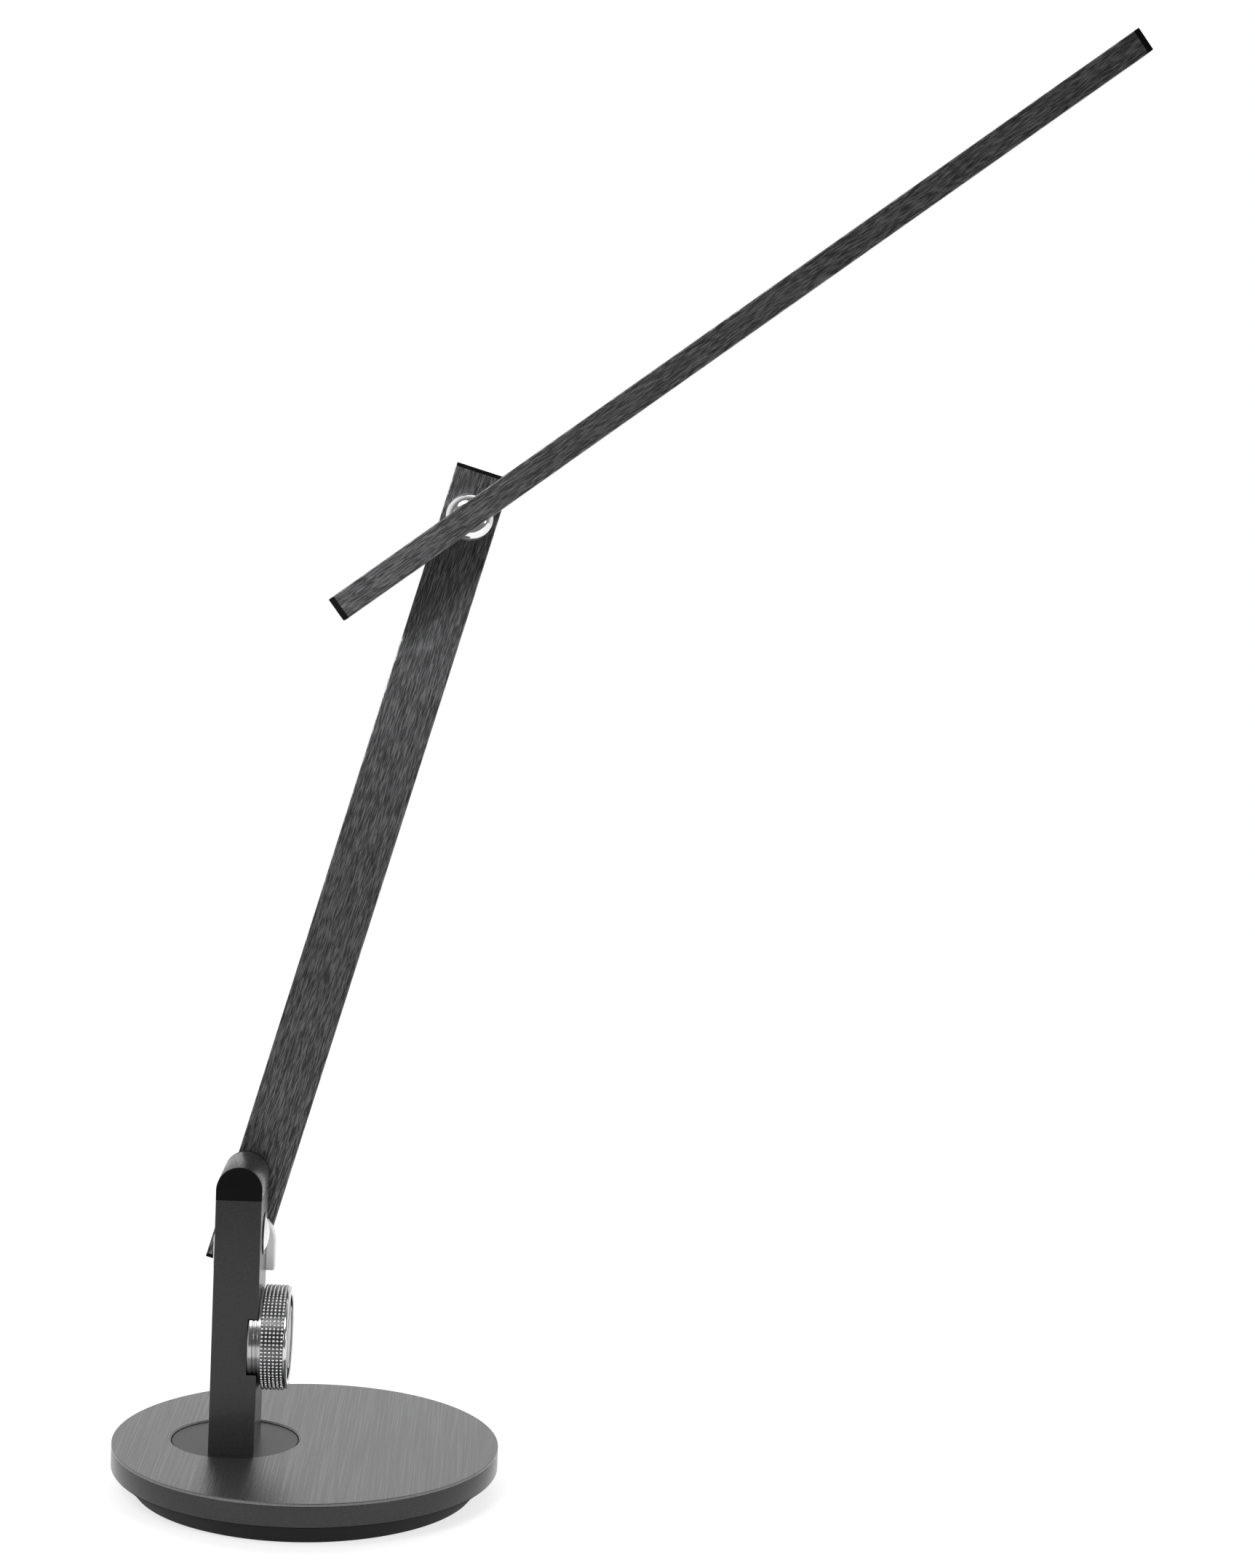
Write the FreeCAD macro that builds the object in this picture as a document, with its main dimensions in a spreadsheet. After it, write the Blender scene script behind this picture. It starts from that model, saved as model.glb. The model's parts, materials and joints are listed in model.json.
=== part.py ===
"""Balance-arm desk lamp: a weighted round base, a swivelling post with a dimmer
knob, a flat lower arm and a slim light bar.  Millimetres, +Z up, origin at the
centre of the base's underside; the arms move in planes parallel to XZ."""
import FreeCAD
import Part
import Sketcher
import math
import os
import re

SIZES = {
    # how far a cutting tool runs past the face it opens
    "cut_over": 1.0,
    # weighted base
    "base_radius": 105.0,
    "base_height": 25.5,
    "plate_thickness": 1.5,
    "plate_edge_chamfer": 0.4,
    "rim_height": 11.1,
    "rim_wall": 4.0,
    "flange_width": 21.0,
    "flange_height": 6.0,
    "undercut_width": 8.0,
    "undercut_height": 6.4,
    "tray_taper": 4.5,
    "tray_wall": 4.0,
    "tray_floor": 2.8,
    "tray_lip": 2.0,
    "weight_gap": 1.0,
    "pad_thickness": 1.0,
    "pad_inset": 2.5,
    "base_screw_radius": 2.0,
    "base_screw_head_radius": 4.2,
    "base_screw_head_height": 2.2,
    "base_screw_length": 12.0,
    "base_screw_circle": 70.0,
    # swivel
    "swivel_margin": 8.4,
    "opening_radius": 34.7,
    "opening_chamfer": 0.8,
    "disc_gap": 0.6,
    "disc_recess": 1.0,
    "disc_thickness": 3.0,
    "washer_thickness": 1.0,
    "washer_inset": 4.0,
    "cup_floor": 2.5,
    "cup_wall": 2.0,
    "cup_gap": 0.3,
    "bush_wall": 2.0,
    "bush_recess": 4.7,
    "stud_radius": 7.95,
    "running_gap": 0.05,
    "cable_bore": 5.0,
    "stud_nut_radius": 13.0,
    "stud_nut_height": 3.2,
    "spring_washer_height": 0.4,
    "nut_well_radius": 15.0,
    # power inlet
    "inlet_width": 10.6,
    "inlet_height": 7.6,
    "inlet_length": 14.0,
    "inlet_level": 18.5,
    "inlet_bore": 2.75,
    "inlet_depth": 9.0,
    "inlet_pin_radius": 1.05,
    "inlet_setback": 0.5,
    # post
    "post_width": 24.6,
    "post_depth": 44.0,
    "post_back": 18.5,
    "post_height": 138.6,
    "post_wall": 2.2,
    "post_floor": 6.0,
    "post_edge_round": 0.6,
    "post_screw_radius": 1.6,
    "post_screw_head_radius": 3.0,
    "post_screw_head_height": 1.7,
    "post_screw_length": 7.0,
    "post_screw_x": 7.0,
    "post_screw_y": 15.0,
    "arch_straight": 5.5,
    "arch_wall": 2.2,
    "arch_cap": 2.0,
    "spigot_depth": 3.0,
    "spigot_gap": 0.2,
    # dimmer knob
    "knob_drop": 57.0,
    "knob_radius": 28.3,
    "knob_reach": 16.0,
    "knob_face_gap": 1.8,
    "knob_ring_length": 12.3,
    "knob_ring_wall": 3.4,
    "knob_bezel_radius": 27.6,
    "knob_bezel_inner": 22.5,
    "knob_core_recess": 1.2,
    "knob_centre_radius": 17.0,
    "knob_centre_height": 0.9,
    "recess_radius": 26.8,
    "recess_depth": 5.5,
    "recess_web": 2.2,
    "hub_radius": 26.0,
    "hub_gap": 0.5,
    "knob_shaft_radius": 3.0,
    "knob_shaft_gap": 0.55,
    "knob_shaft_depth": 6.0,
    "dimmer_width": 16.0,
    "dimmer_depth": 8.0,
    "board_thickness": 1.6,
    "board_height": 64.0,
    "board_width": 30.0,
    # push-button
    "button_radius": 9.65,
    "button_dome": 2.6,
    "button_skirt": 3.7,
    "button_proud": 0.3,
    "button_gap": 0.1,
    "bezel_wall": 0.9,
    "bezel_lip": 0.9,
    "bezel_proud": 0.8,
    "stem_radius": 2.5,
    "stem_length": 7.5,
    "switch_width": 12.0,
    "switch_depth": 10.5,
    "switch_gap": 3.0,
    "switch_bore_depth": 7.0,
    # lower pivot
    "pivot_drop": 22.6,
    "bolt_radius": 3.95,
    "bolt_head_radius": 6.5,
    "bolt_head_height": 4.0,
    "pivot_block_depth": 8.0,
    "pivot_block_height": 20.0,
    "block_gap": 0.3,
    "bracket_half_width": 17.0,
    "bracket_thickness": 7.7,
    "bracket_centre_drop": 10.5,
    "bracket_bottom_drop": 26.3,
    "bracket_bevel": 1.5,
    "fibre_thickness": 0.3,
    "fibre_radius": 10.0,
    "rear_washer": 0.5,
    "dome_nut_radius": 9.0,
    "dome_nut_height": 5.0,
    "dome_nut_round": 3.0,
    "dome_nut_cover": 1.0,
    # lower arm
    "arm_lean": 15.45,
    "arm_width": 30.6,
    "arm_thickness": 12.0,
    "arm_wall": 1.5,
    "arm_reach": 406.0,
    "arm_end": 26.3,
    "arm_cap": 2.0,
    "arm_edge_round": 0.5,
    "spacer_wall": 3.0,
    "arm_lead_radius": 1.5,
    "arm_lead_gap": 0.75,
    # upper pivot
    "upper_bolt_radius": 2.95,
    "upper_head_radius": 8.0,
    "upper_head_height": 3.0,
    "upper_head_round": 1.8,
    "dome_radius": 13.1,
    "dome_thickness": 8.7,
    "dome_round": 7.0,
    "upper_nut_radius": 5.0,
    "upper_nut_height": 4.0,
    "upper_nut_gap": 0.2,
    "upper_fibre_inset": 7.4,
    # light bar
    "head_tilt": 37.54,
    "head_height": 13.8,
    "head_depth": 27.0,
    "head_wall": 1.5,
    "head_reach": 437.0,
    "head_tail": 86.0,
    "head_cap": 3.2,
    "head_edge_round": 0.6,
    "head_spacer_radius": 5.3,
    "head_spacer_length": 6.3,
    "counterweight_length": 62.0,
    "counterweight_gap": 0.2,
    "light_start": 60.0,
    "light_width": 18.0,
    "light_end_gap": 8.0,
    "diffuser_flange": 2.0,
    "diffuser_flange_height": 1.0,
    "led_board_width": 16.0,
    "led_size": 2.8,
    "led_height": 0.8,
    "led_pitch": 12.0,
}

# Levels and positions worked out from the sizes above.
PLACES = {
    "plate_bottom": "base_height - plate_thickness",
    "rim_bottom": "plate_bottom - rim_height",
    "tray_knee": "rim_bottom - undercut_height",
    "tray_radius": "base_radius - undercut_width",
    "foot_radius": "tray_radius - tray_taper",
    "floor_top": "pad_thickness + tray_floor",
    "flange_bottom": "plate_bottom - flange_height",
    "weight_radius": "foot_radius - tray_lip - weight_gap",
    "screw_bottom": "pad_thickness",
    "cup_inner": "opening_radius + cup_gap",
    "cup_radius": "cup_inner + cup_wall",
    "axis_x": "-(base_radius - flange_width - swivel_margin - cup_radius)",
    "disc_top": "base_height - disc_recess",
    "disc_bottom": "disc_top - disc_thickness",
    "washer_bottom": "disc_bottom - washer_thickness",
    "bush_bore": "stud_radius + running_gap",
    "bush_radius": "bush_bore + bush_wall",
    "bush_bottom": "floor_top + bush_recess",
    "post_left": "axis_x - post_width / 2",
    "post_right": "axis_x + post_width / 2",
    "post_front": "post_back - post_depth",
    "post_middle": "post_back - post_depth / 2",
    "post_bottom": "disc_top",
    "post_top": "post_bottom + post_height",
    "arch_centre": "post_top + arch_straight",
    "arch_radius": "post_width / 2",
    "pivot_z": "post_top - pivot_drop",
    "knob_z": "pivot_z - knob_drop",
    "recess_floor": "post_right - recess_depth",
    "web_back": "recess_floor - recess_web",
    "ring_start": "post_right + knob_face_gap",
    "bezel_start": "ring_start + knob_ring_length",
    "knob_end": "post_right + knob_reach",
    "ring_inner": "knob_radius - knob_ring_wall",
    "core_end": "knob_end - knob_core_recess",
    "shaft_start": "web_back - knob_shaft_depth",
    "cap_base": "post_right + button_proud",
    "bezel_bore": "button_radius + button_gap",
    "bezel_radius": "bezel_bore + bezel_wall",
    "switch_front": "cap_base - button_skirt - switch_gap",
    "block_front": "post_back - post_wall - pivot_block_depth",
    "bracket_back": "post_back + bracket_thickness",
    "arm_front": "bracket_back + fibre_thickness",
    "arm_back": "arm_front + arm_thickness",
    "upper_hole": "upper_bolt_radius + running_gap",
    "bolt_hole": "bolt_radius + running_gap",
    "head_back": "arm_front - dome_thickness - fibre_thickness",
    "head_front": "head_back - head_depth",
    "head_middle": "head_back - head_depth / 2",
    "spacer_front": "head_back - head_wall - head_spacer_length",
    "upper_x": "axis_x + arm_reach * sin(arm_lean)",
    "upper_z": "pivot_z + arm_reach * cos(arm_lean)",
    "light_end": "head_reach - head_cap - light_end_gap",
    "cavity_top": "head_height / 2 - head_wall",
    "board_bottom": "cavity_top - board_thickness",
}

BASE_SCREWS = 3
NEAR = 0.01
Z_AXIS = "rotation(vector(0; 0; 1); 0)"
TO_X = "rotation(vector(0; 1; 0); 90)"
TO_Y = "rotation(vector(1; 0; 0); -90)"
UP_FROM_Y = "rotation(vector(1; 0; 0); 90)"
TURN = {"Z": Z_AXIS, "X": TO_X, "Y": TO_Y, "half": UP_FROM_Y}

doc = FreeCAD.newDocument("desk_lamp")
sheet = doc.addObject("Spreadsheet::Sheet", "Sizes")
nodes = {}


def fill_sheet():
    for row, (alias, size) in enumerate(SIZES.items(), start=1):
        sheet.set("A%d" % row, alias)
        sheet.set("B%d" % row, str(size))
        sheet.setAlias("B%d" % row, alias)
    doc.recompute()


def formula(text):
    """Spell out the named places and sizes in a formula for the document."""
    def spell(found):
        word = found.group(0)
        if word in PLACES:
            return "(" + formula(PLACES[word]) + ")"
        if word == "sin" or word == "cos":
            return word
        if word in SIZES:
            return "Sizes." + word
        return word
    # sin and cos read degrees when their value carries the unit
    text = re.sub(r"(sin|cos)\((\w+)\)", r"\1(\2 * 1deg)", text)
    return re.sub(r"\b[a-z_]+\b", spell, text)


def number(text):
    return float(sheet.evalExpression(formula(text)))


def add(kind, name, **sizes):
    item = doc.addObject(kind, name)
    for prop, text in sizes.items():
        item.setExpression(prop, formula(text))
    return item


def place(item, x, y, z, turn=Z_AXIS):
    spot = "vector(%s; %s; %s)" % (formula(x), formula(y), formula(z))
    item.setExpression("Placement", "placement(%s; %s)" % (spot, turn))
    return item


def box(name, size, corner):
    item = add("Part::Box", name, Length=size[0], Width=size[1], Height=size[2])
    return place(item, *corner)


def rod(name, radius, length, start, along="Z"):
    item = add("Part::Cylinder", name, Radius=radius, Height=length)
    return place(item, *start, TURN[along])


def hexagon(name, radius, height, start, along="Z"):
    item = add("Part::Prism", name, Circumradius=radius, Height=height)
    item.Polygon = 6
    return place(item, *start, TURN[along])


def half_rod(name, radius, length, end):
    """A half-round bar, flat side down, running towards the front from its end."""
    item = add("Part::Cylinder", name, Radius=radius, Height=length)
    item.Angle = 180
    return place(item, *end, UP_FROM_Y)


def cone(name, radius_low, radius_high, height, start, along="Z"):
    item = add("Part::Cone", name, Radius1=radius_low, Radius2=radius_high, Height=height)
    return place(item, *start, TURN[along])


def fuse(name, items):
    item = doc.addObject("Part::MultiFuse", name)
    item.Shapes = items
    item.Refine = True
    return item


def cut(name, stock, *tools):
    tool = tools[0]
    if len(tools) > 1:
        tool = group(name + "_cuts", tools)
    item = doc.addObject("Part::Cut", name)
    item.Base = stock
    item.Tool = tool
    item.Refine = True
    return item


def group(name, items):
    item = doc.addObject("Part::Compound", name)
    item.Links = list(items)
    return item


def common(name, first, second):
    item = doc.addObject("Part::Common", name)
    item.Base = first
    item.Tool = second
    return item


def ring(name, outer, inner, length, start, along="Z"):
    stock = rod(name + "_stock", outer, length, start, along)
    hole = rod(name + "_hole", inner, length, start, along)
    return cut(name, stock, hole)


def softened(kind, name, stock, size, picks):
    """Round or bevel the edges of a solid that a test picks out."""
    doc.recompute()
    amount = number(size)
    item = doc.addObject(kind, name)
    item.Base = stock
    edges = enumerate(stock.Shape.Edges, start=1)
    item.Edges = [(index, amount, amount) for index, edge in edges if picks(edge)]
    return item


def rounded(name, stock, size, picks):
    return softened("Part::Fillet", name, stock, size, picks)


def bevelled(name, stock, size, picks):
    return softened("Part::Chamfer", name, stock, size, picks)


def is_along(direction):
    """A test for straight edges that run along one axis."""
    def picks(edge):
        ends = edge.Vertexes
        if len(ends) != 2:
            return False
        run = ends[1].Point.sub(ends[0].Point)
        sizes = [abs(run.x), abs(run.y), abs(run.z)]
        return sizes[direction] > 0.99 * run.Length
    return picks


def turned(name, corners, x="0", y="0"):
    """A solid of revolution about a vertical axis, from (radius, height) corners."""
    body = doc.addObject("PartDesign::Body", name)
    planes = [item for item in body.Origin.OriginFeatures if item.Role == "XZ_Plane"]
    sketch = body.newObject("Sketcher::SketchObject", name + "_profile")
    sketch.AttachmentSupport = (planes[0], [""])
    sketch.MapMode = "FlatFace"
    spots = [FreeCAD.Vector(number(r), number(h), 0) for r, h in corners]
    count = len(spots)
    for here in range(count):
        line = Part.LineSegment(spots[here], spots[(here + 1) % count])
        sketch.addGeometry(line, False)
    for here in range(count):
        there = (here + 1) % count
        sketch.addConstraint(Sketcher.Constraint("Coincident", here, 2, there, 1))
    for here, (radius, height) in enumerate(corners):
        hold(sketch, "DistanceX", here, radius, spots[here].x, -2)
        hold(sketch, "DistanceY", here, height, spots[here].y, -1)
    lathe = body.newObject("PartDesign::Revolution", name + "_turn")
    lathe.Profile = sketch
    lathe.ReferenceAxis = (sketch, ["V_Axis"])
    lathe.Angle = 360
    place(body, x, y, "0")
    return body


def hold(sketch, kind, line, text, now, axis):
    """Tie one end of a sketch line to its axis or to its distance from it."""
    if text == "0":
        sketch.addConstraint(Sketcher.Constraint("PointOnObject", line, 1, axis))
        return
    index = sketch.addConstraint(Sketcher.Constraint(kind, -1, 1, line, 1, now))
    sketch.setExpression("Constraints[%d]" % index, formula(text))


def keep(item, label):
    item.Label = label
    nodes[label] = item
    return item


def on_arm(label, item):
    """Carry a piece drawn along Z from the lower pivot out on the leaning arm."""
    carried = group(label, [item])
    lean = "rotation(vector(0; 1; 0); Sizes.arm_lean)"
    place(carried, "axis_x", "0", "pivot_z", lean)
    return keep(carried, label)


def on_head(label, item):
    """Carry a piece drawn along X from the upper pivot out on the tilted light bar."""
    carried = group(label, [item])
    tilt = "rotation(vector(0; 1; 0); -Sizes.head_tilt)"
    place(carried, "upper_x", "0", "upper_z", tilt)
    return keep(carried, label)


def base_screw_set():
    screws = []
    for index in range(BASE_SCREWS):
        angle = math.radians(90 + index * 360 / BASE_SCREWS)
        x = "base_screw_circle * %.6f" % math.cos(angle)
        y = "base_screw_circle * %.6f" % math.sin(angle)
        name = "base_screw_%d" % (index + 1)
        shank = rod(name + "_shank", "base_screw_radius", "base_screw_length", (x, y, "screw_bottom"))
        head = cone(name + "_head", "base_screw_head_radius", "base_screw_radius",
                    "base_screw_head_height", (x, y, "screw_bottom"))
        screws.append(fuse(name, [shank, head]))
    return keep(group("base_screws", screws), "base_screws")


def build_base():
    screws = base_screw_set()
    pad = rod("base_pad", "foot_radius - pad_inset", "pad_thickness", ("0", "0", "0"))
    keep(pad, "base_pad")

    tray = turned("base_tray_dish", [
        ("0", "pad_thickness"),
        ("foot_radius", "pad_thickness"),
        ("tray_radius", "tray_knee"),
        ("base_radius", "rim_bottom"),
        ("base_radius - rim_wall", "rim_bottom"),
        ("tray_radius - tray_wall", "tray_knee"),
        ("foot_radius - tray_lip", "floor_top"),
        ("0", "floor_top"),
    ])
    keep(cut("base_tray", tray, screws), "base_tray")

    rim = turned("base_rim_turning", [
        ("base_radius", "rim_bottom"),
        ("base_radius", "plate_bottom"),
        ("base_radius - flange_width", "plate_bottom"),
        ("base_radius - flange_width", "flange_bottom"),
        ("base_radius - rim_wall", "flange_bottom"),
        ("base_radius - rim_wall", "rim_bottom"),
    ])
    window = box("inlet_window", ("inlet_width", "flange_width + cut_over", "inlet_height"),
                 ("-inlet_width / 2", "base_radius - flange_width", "inlet_level - inlet_height / 2"))
    keep(cut("base_rim", rim, window), "base_rim")

    weight = rod("base_weight_disc", "weight_radius", "flange_bottom - floor_top", ("0", "0", "floor_top"))
    bush_hole = rod("base_weight_hole", "bush_radius", "flange_bottom - floor_top",
                    ("axis_x", "0", "floor_top"))
    nut_well = rod("base_weight_well", "nut_well_radius", "bush_recess", ("axis_x", "0", "floor_top"))
    keep(cut("base_weight", weight, bush_hole, nut_well, screws), "base_weight")

    disc = rod("top_plate_disc", "base_radius", "plate_thickness", ("0", "0", "plate_bottom"))
    opening = rod("top_plate_opening", "opening_radius", "plate_thickness", ("axis_x", "0", "plate_bottom"))
    flare = cone("top_plate_flare", "opening_radius", "opening_radius + opening_chamfer", "opening_chamfer",
                 ("axis_x", "0", "base_height - opening_chamfer"))
    plate = cut("top_plate_cut", disc, opening, flare)
    edge_radius = number("base_radius")
    top = number("base_height")

    def is_top_edge(edge):
        box_of_edge = edge.BoundBox
        return box_of_edge.ZMin > top - NEAR and box_of_edge.XLength > 1.9 * edge_radius
    keep(bevelled("base_top_plate", plate, "plate_edge_chamfer", is_top_edge), "base_top_plate")


def build_swivel():
    cup = turned("swivel_cup", [
        ("bush_radius", "flange_bottom"),
        ("cup_radius", "flange_bottom"),
        ("cup_radius", "plate_bottom"),
        ("cup_inner", "plate_bottom"),
        ("cup_inner", "flange_bottom + cup_floor"),
        ("bush_radius", "flange_bottom + cup_floor"),
    ], "axis_x")
    keep(cup, "swivel_cup")
    centre = ("axis_x", "0")
    bush = ring("swivel_bush", "bush_radius", "bush_bore", "washer_bottom - bush_bottom",
                centre + ("bush_bottom",))
    keep(bush, "swivel_bush")
    washer = ring("swivel_washer", "cup_inner - washer_inset", "bush_radius", "washer_thickness",
                  centre + ("washer_bottom",))
    keep(washer, "swivel_washer")
    stud = ring("swivel_stud", "stud_radius", "cable_bore",
                "disc_bottom - bush_bottom + stud_nut_height + spring_washer_height",
                centre + ("bush_bottom - stud_nut_height - spring_washer_height",))
    keep(stud, "swivel_stud")
    spring = ring("swivel_spring_washer", "stud_nut_radius", "stud_radius", "spring_washer_height",
                  centre + ("bush_bottom - spring_washer_height",))
    keep(spring, "swivel_spring_washer")
    nut_low = centre + ("bush_bottom - spring_washer_height - stud_nut_height",)
    nut = hexagon("swivel_nut_stock", "stud_nut_radius", "stud_nut_height", nut_low)
    nut_hole = rod("swivel_nut_hole", "stud_radius", "stud_nut_height", nut_low)
    keep(cut("swivel_nut", nut, nut_hole), "swivel_nut")


def post_screw_set():
    screws = []
    for side_x in (-1, 1):
        for side_y in (-1, 1):
            x = "axis_x + %d * post_screw_x" % side_x
            y = "post_middle + %d * post_screw_y" % side_y
            name = "post_screw_%d" % (len(screws) + 1)
            shank = rod(name + "_shank", "post_screw_radius", "post_screw_length", (x, y, "disc_bottom"))
            head = rod(name + "_head", "post_screw_head_radius", "post_screw_head_height",
                       (x, y, "disc_bottom"))
            screws.append(fuse(name, [shank, head]))
    return keep(group("post_screws", screws), "post_screws")


def build_post():
    screws = post_screw_set()
    disc = rod("swivel_disc_stock", "opening_radius - disc_gap", "disc_thickness",
               ("axis_x", "0", "disc_bottom"))
    disc_bore = rod("swivel_disc_bore", "cable_bore", "disc_thickness", ("axis_x", "0", "disc_bottom"))
    keep(cut("swivel_disc", disc, disc_bore, screws), "swivel_disc")

    block = box("post_block", ("post_width", "post_depth", "post_height"),
                ("post_left", "post_front", "post_bottom"))
    block = rounded("post_block_rounded", block, "post_edge_round", is_along(2))
    cavity = box("post_cavity",
                 ("post_width - 2 * post_wall", "post_depth - 2 * post_wall",
                  "post_height - post_floor + cut_over"),
                 ("post_left + post_wall", "post_front + post_wall", "post_bottom + post_floor"))
    shell = cut("post_shell", block, cavity)
    reach = "recess_radius + recess_web"
    web = box("post_recess_web",
              ("recess_depth + recess_web", "post_depth - post_wall", "2 * (" + reach + ")"),
              ("web_back", "post_front + post_wall / 2", "knob_z - (" + reach + ")"))
    shell = fuse("post_shell_web", [shell, web])
    recess = rod("post_recess", "recess_radius", "recess_depth + cut_over",
                 ("recess_floor", "post_middle", "knob_z"), "X")
    shaft_hole = rod("post_shaft_hole", "knob_shaft_radius + knob_shaft_gap", "recess_web + cut_over",
                     ("web_back - cut_over / 2", "post_middle", "knob_z"), "X")
    button_hole = rod("post_button_hole", "bezel_radius", "post_wall + cut_over",
                      ("post_right - post_wall - cut_over / 2", "post_middle", "pivot_z"), "X")
    bolt_hole = rod("post_bolt_hole", "bolt_radius", "post_wall + cut_over",
                    ("axis_x", "post_back - post_wall - cut_over / 2", "pivot_z"), "Y")
    cable_hole = rod("post_cable_hole", "cable_bore", "post_floor", ("axis_x", "0", "post_bottom"))
    casing = cut("post_casing", shell, recess, shaft_hole, button_hole, bolt_hole, cable_hole, screws)
    keep(casing, "post_casing")


def arch_outline(name, shrink, length, back, low="post_top"):
    """The post head's outline, straight sides under a half-round, pulled in by a margin."""
    sides = box(name + "_sides", ("post_width - 2 * (%s)" % shrink, length, "arch_centre - (%s)" % low),
                ("post_left + (%s)" % shrink, "(%s) - (%s)" % (back, length), low))
    crown = half_rod(name + "_crown", "arch_radius - (%s)" % shrink, length,
                     ("axis_x", back, "arch_centre"))
    return fuse(name, [sides, crown])


def build_arch():
    barrel = arch_outline("arch_barrel_stock", "0", "post_depth - 2 * arch_cap", "post_back - arch_cap")
    hollow = arch_outline("arch_barrel_hollow", "arch_wall", "post_depth - 2 * arch_cap",
                          "post_back - arch_cap")
    keep(cut("arch_barrel", barrel, hollow), "arch_barrel")
    margin = "arch_wall + spigot_gap"
    sill = "post_top + spigot_gap"
    for label, back, spigot_back in (
            ("arch_front_cap", "post_front + arch_cap", "post_front + arch_cap + spigot_depth"),
            ("arch_rear_cap", "post_back", "post_back - arch_cap")):
        plate = arch_outline(label + "_plate", "0", "arch_cap", back)
        spigot = arch_outline(label + "_spigot", margin, "spigot_depth", spigot_back, sill)
        keep(fuse(label, [plate, spigot]), label)


def build_inlet():
    start = "base_radius - inlet_setback - inlet_length"
    low = "inlet_level - inlet_height / 2"
    stock = box("inlet_stock", ("inlet_width", "inlet_length", "inlet_height"),
                ("-inlet_width / 2", start, low))
    mouth_start = "base_radius - inlet_setback - inlet_depth"
    mouth = rod("inlet_mouth", "inlet_bore", "inlet_depth + cut_over", ("0", mouth_start, "inlet_level"),
                "Y")
    pin_hole = rod("inlet_pin_hole", "inlet_pin_radius", "inlet_length - inlet_depth",
                   ("0", start, "inlet_level"), "Y")
    keep(cut("inlet_socket", stock, mouth, pin_hole), "inlet_socket")
    pin = rod("inlet_pin", "inlet_pin_radius", "inlet_length - inlet_setback", ("0", start, "inlet_level"),
              "Y")
    keep(pin, "inlet_pin")


def build_knob():
    across = ("post_middle", "knob_z")
    hub = ring("knob_hub", "hub_radius", "knob_shaft_radius", "ring_start - recess_floor - hub_gap",
               ("recess_floor + hub_gap",) + across, "X")
    keep(hub, "knob_hub")
    grip = ring("knob_ring", "knob_radius", "ring_inner", "knob_ring_length", ("ring_start",) + across, "X")
    keep(grip, "knob_ring")
    core = ring("knob_core", "ring_inner", "knob_shaft_radius", "core_end - ring_start",
                ("ring_start",) + across, "X")
    keep(core, "knob_core")
    bezel = ring("knob_bezel_stock", "knob_bezel_radius", "knob_bezel_inner", "knob_end - bezel_start",
                 ("bezel_start",) + across, "X")
    core_seat = rod("knob_bezel_seat", "ring_inner", "core_end - bezel_start", ("bezel_start",) + across,
                    "X")
    keep(cut("knob_bezel", bezel, core_seat), "knob_bezel")
    centre = rod("knob_centre", "knob_centre_radius", "knob_centre_height", ("core_end",) + across, "X")
    keep(centre, "knob_centre")
    shaft = rod("knob_shaft", "knob_shaft_radius", "core_end - shaft_start", ("shaft_start",) + across, "X")
    keep(shaft, "knob_shaft")


def build_electronics():
    body = box("dimmer_case", ("dimmer_depth", "dimmer_width", "dimmer_width"),
               ("web_back - dimmer_depth", "post_middle - dimmer_width / 2", "knob_z - dimmer_width / 2"))
    bore = rod("dimmer_bore", "knob_shaft_radius + running_gap", "dimmer_depth",
               ("web_back - dimmer_depth + board_thickness", "post_middle", "knob_z"), "X")
    keep(cut("dimmer_body", body, bore), "dimmer_body")
    board = box("control_board", ("board_thickness", "board_width", "board_height"),
                ("post_left + post_wall", "post_middle - board_width / 2", "knob_z - board_height / 2"))
    keep(board, "control_board")
    case = box("switch_case", ("switch_depth", "switch_width", "switch_width"),
               ("switch_front - switch_depth", "post_middle - switch_width / 2",
                "pivot_z - switch_width / 2"))
    plunger = rod("switch_plunger_hole", "stem_radius + running_gap", "switch_bore_depth + cut_over",
                  ("switch_front - switch_bore_depth", "post_middle", "pivot_z"), "X")
    keep(cut("switch_body", case, plunger), "switch_body")


def build_button():
    across = ("post_middle", "pivot_z")
    sleeve = rod("button_bezel_sleeve", "bezel_radius", "post_wall", ("post_right - post_wall",) + across,
                 "X")
    lip = rod("button_bezel_lip", "bezel_radius + bezel_lip", "bezel_proud", ("post_right",) + across, "X")
    bore = rod("button_bezel_bore", "bezel_bore", "post_wall + bezel_proud",
               ("post_right - post_wall",) + across, "X")
    keep(cut("button_bezel", fuse("button_bezel_stock", [sleeve, lip]), bore), "button_bezel")
    skirt = rod("button_skirt", "button_radius", "button_skirt + button_dome",
                ("cap_base - button_skirt",) + across, "X")
    ball_radius = "(button_radius * button_radius + button_dome * button_dome) / (2 * button_dome)"
    ball = add("Part::Sphere", "button_ball", Radius=ball_radius)
    place(ball, "cap_base + button_dome - " + ball_radius, *across)
    keep(common("button_cap", skirt, ball), "button_cap")
    stem = rod("button_stem", "stem_radius", "stem_length",
               ("cap_base - button_skirt - stem_length",) + across, "X")
    keep(stem, "button_stem")


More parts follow.
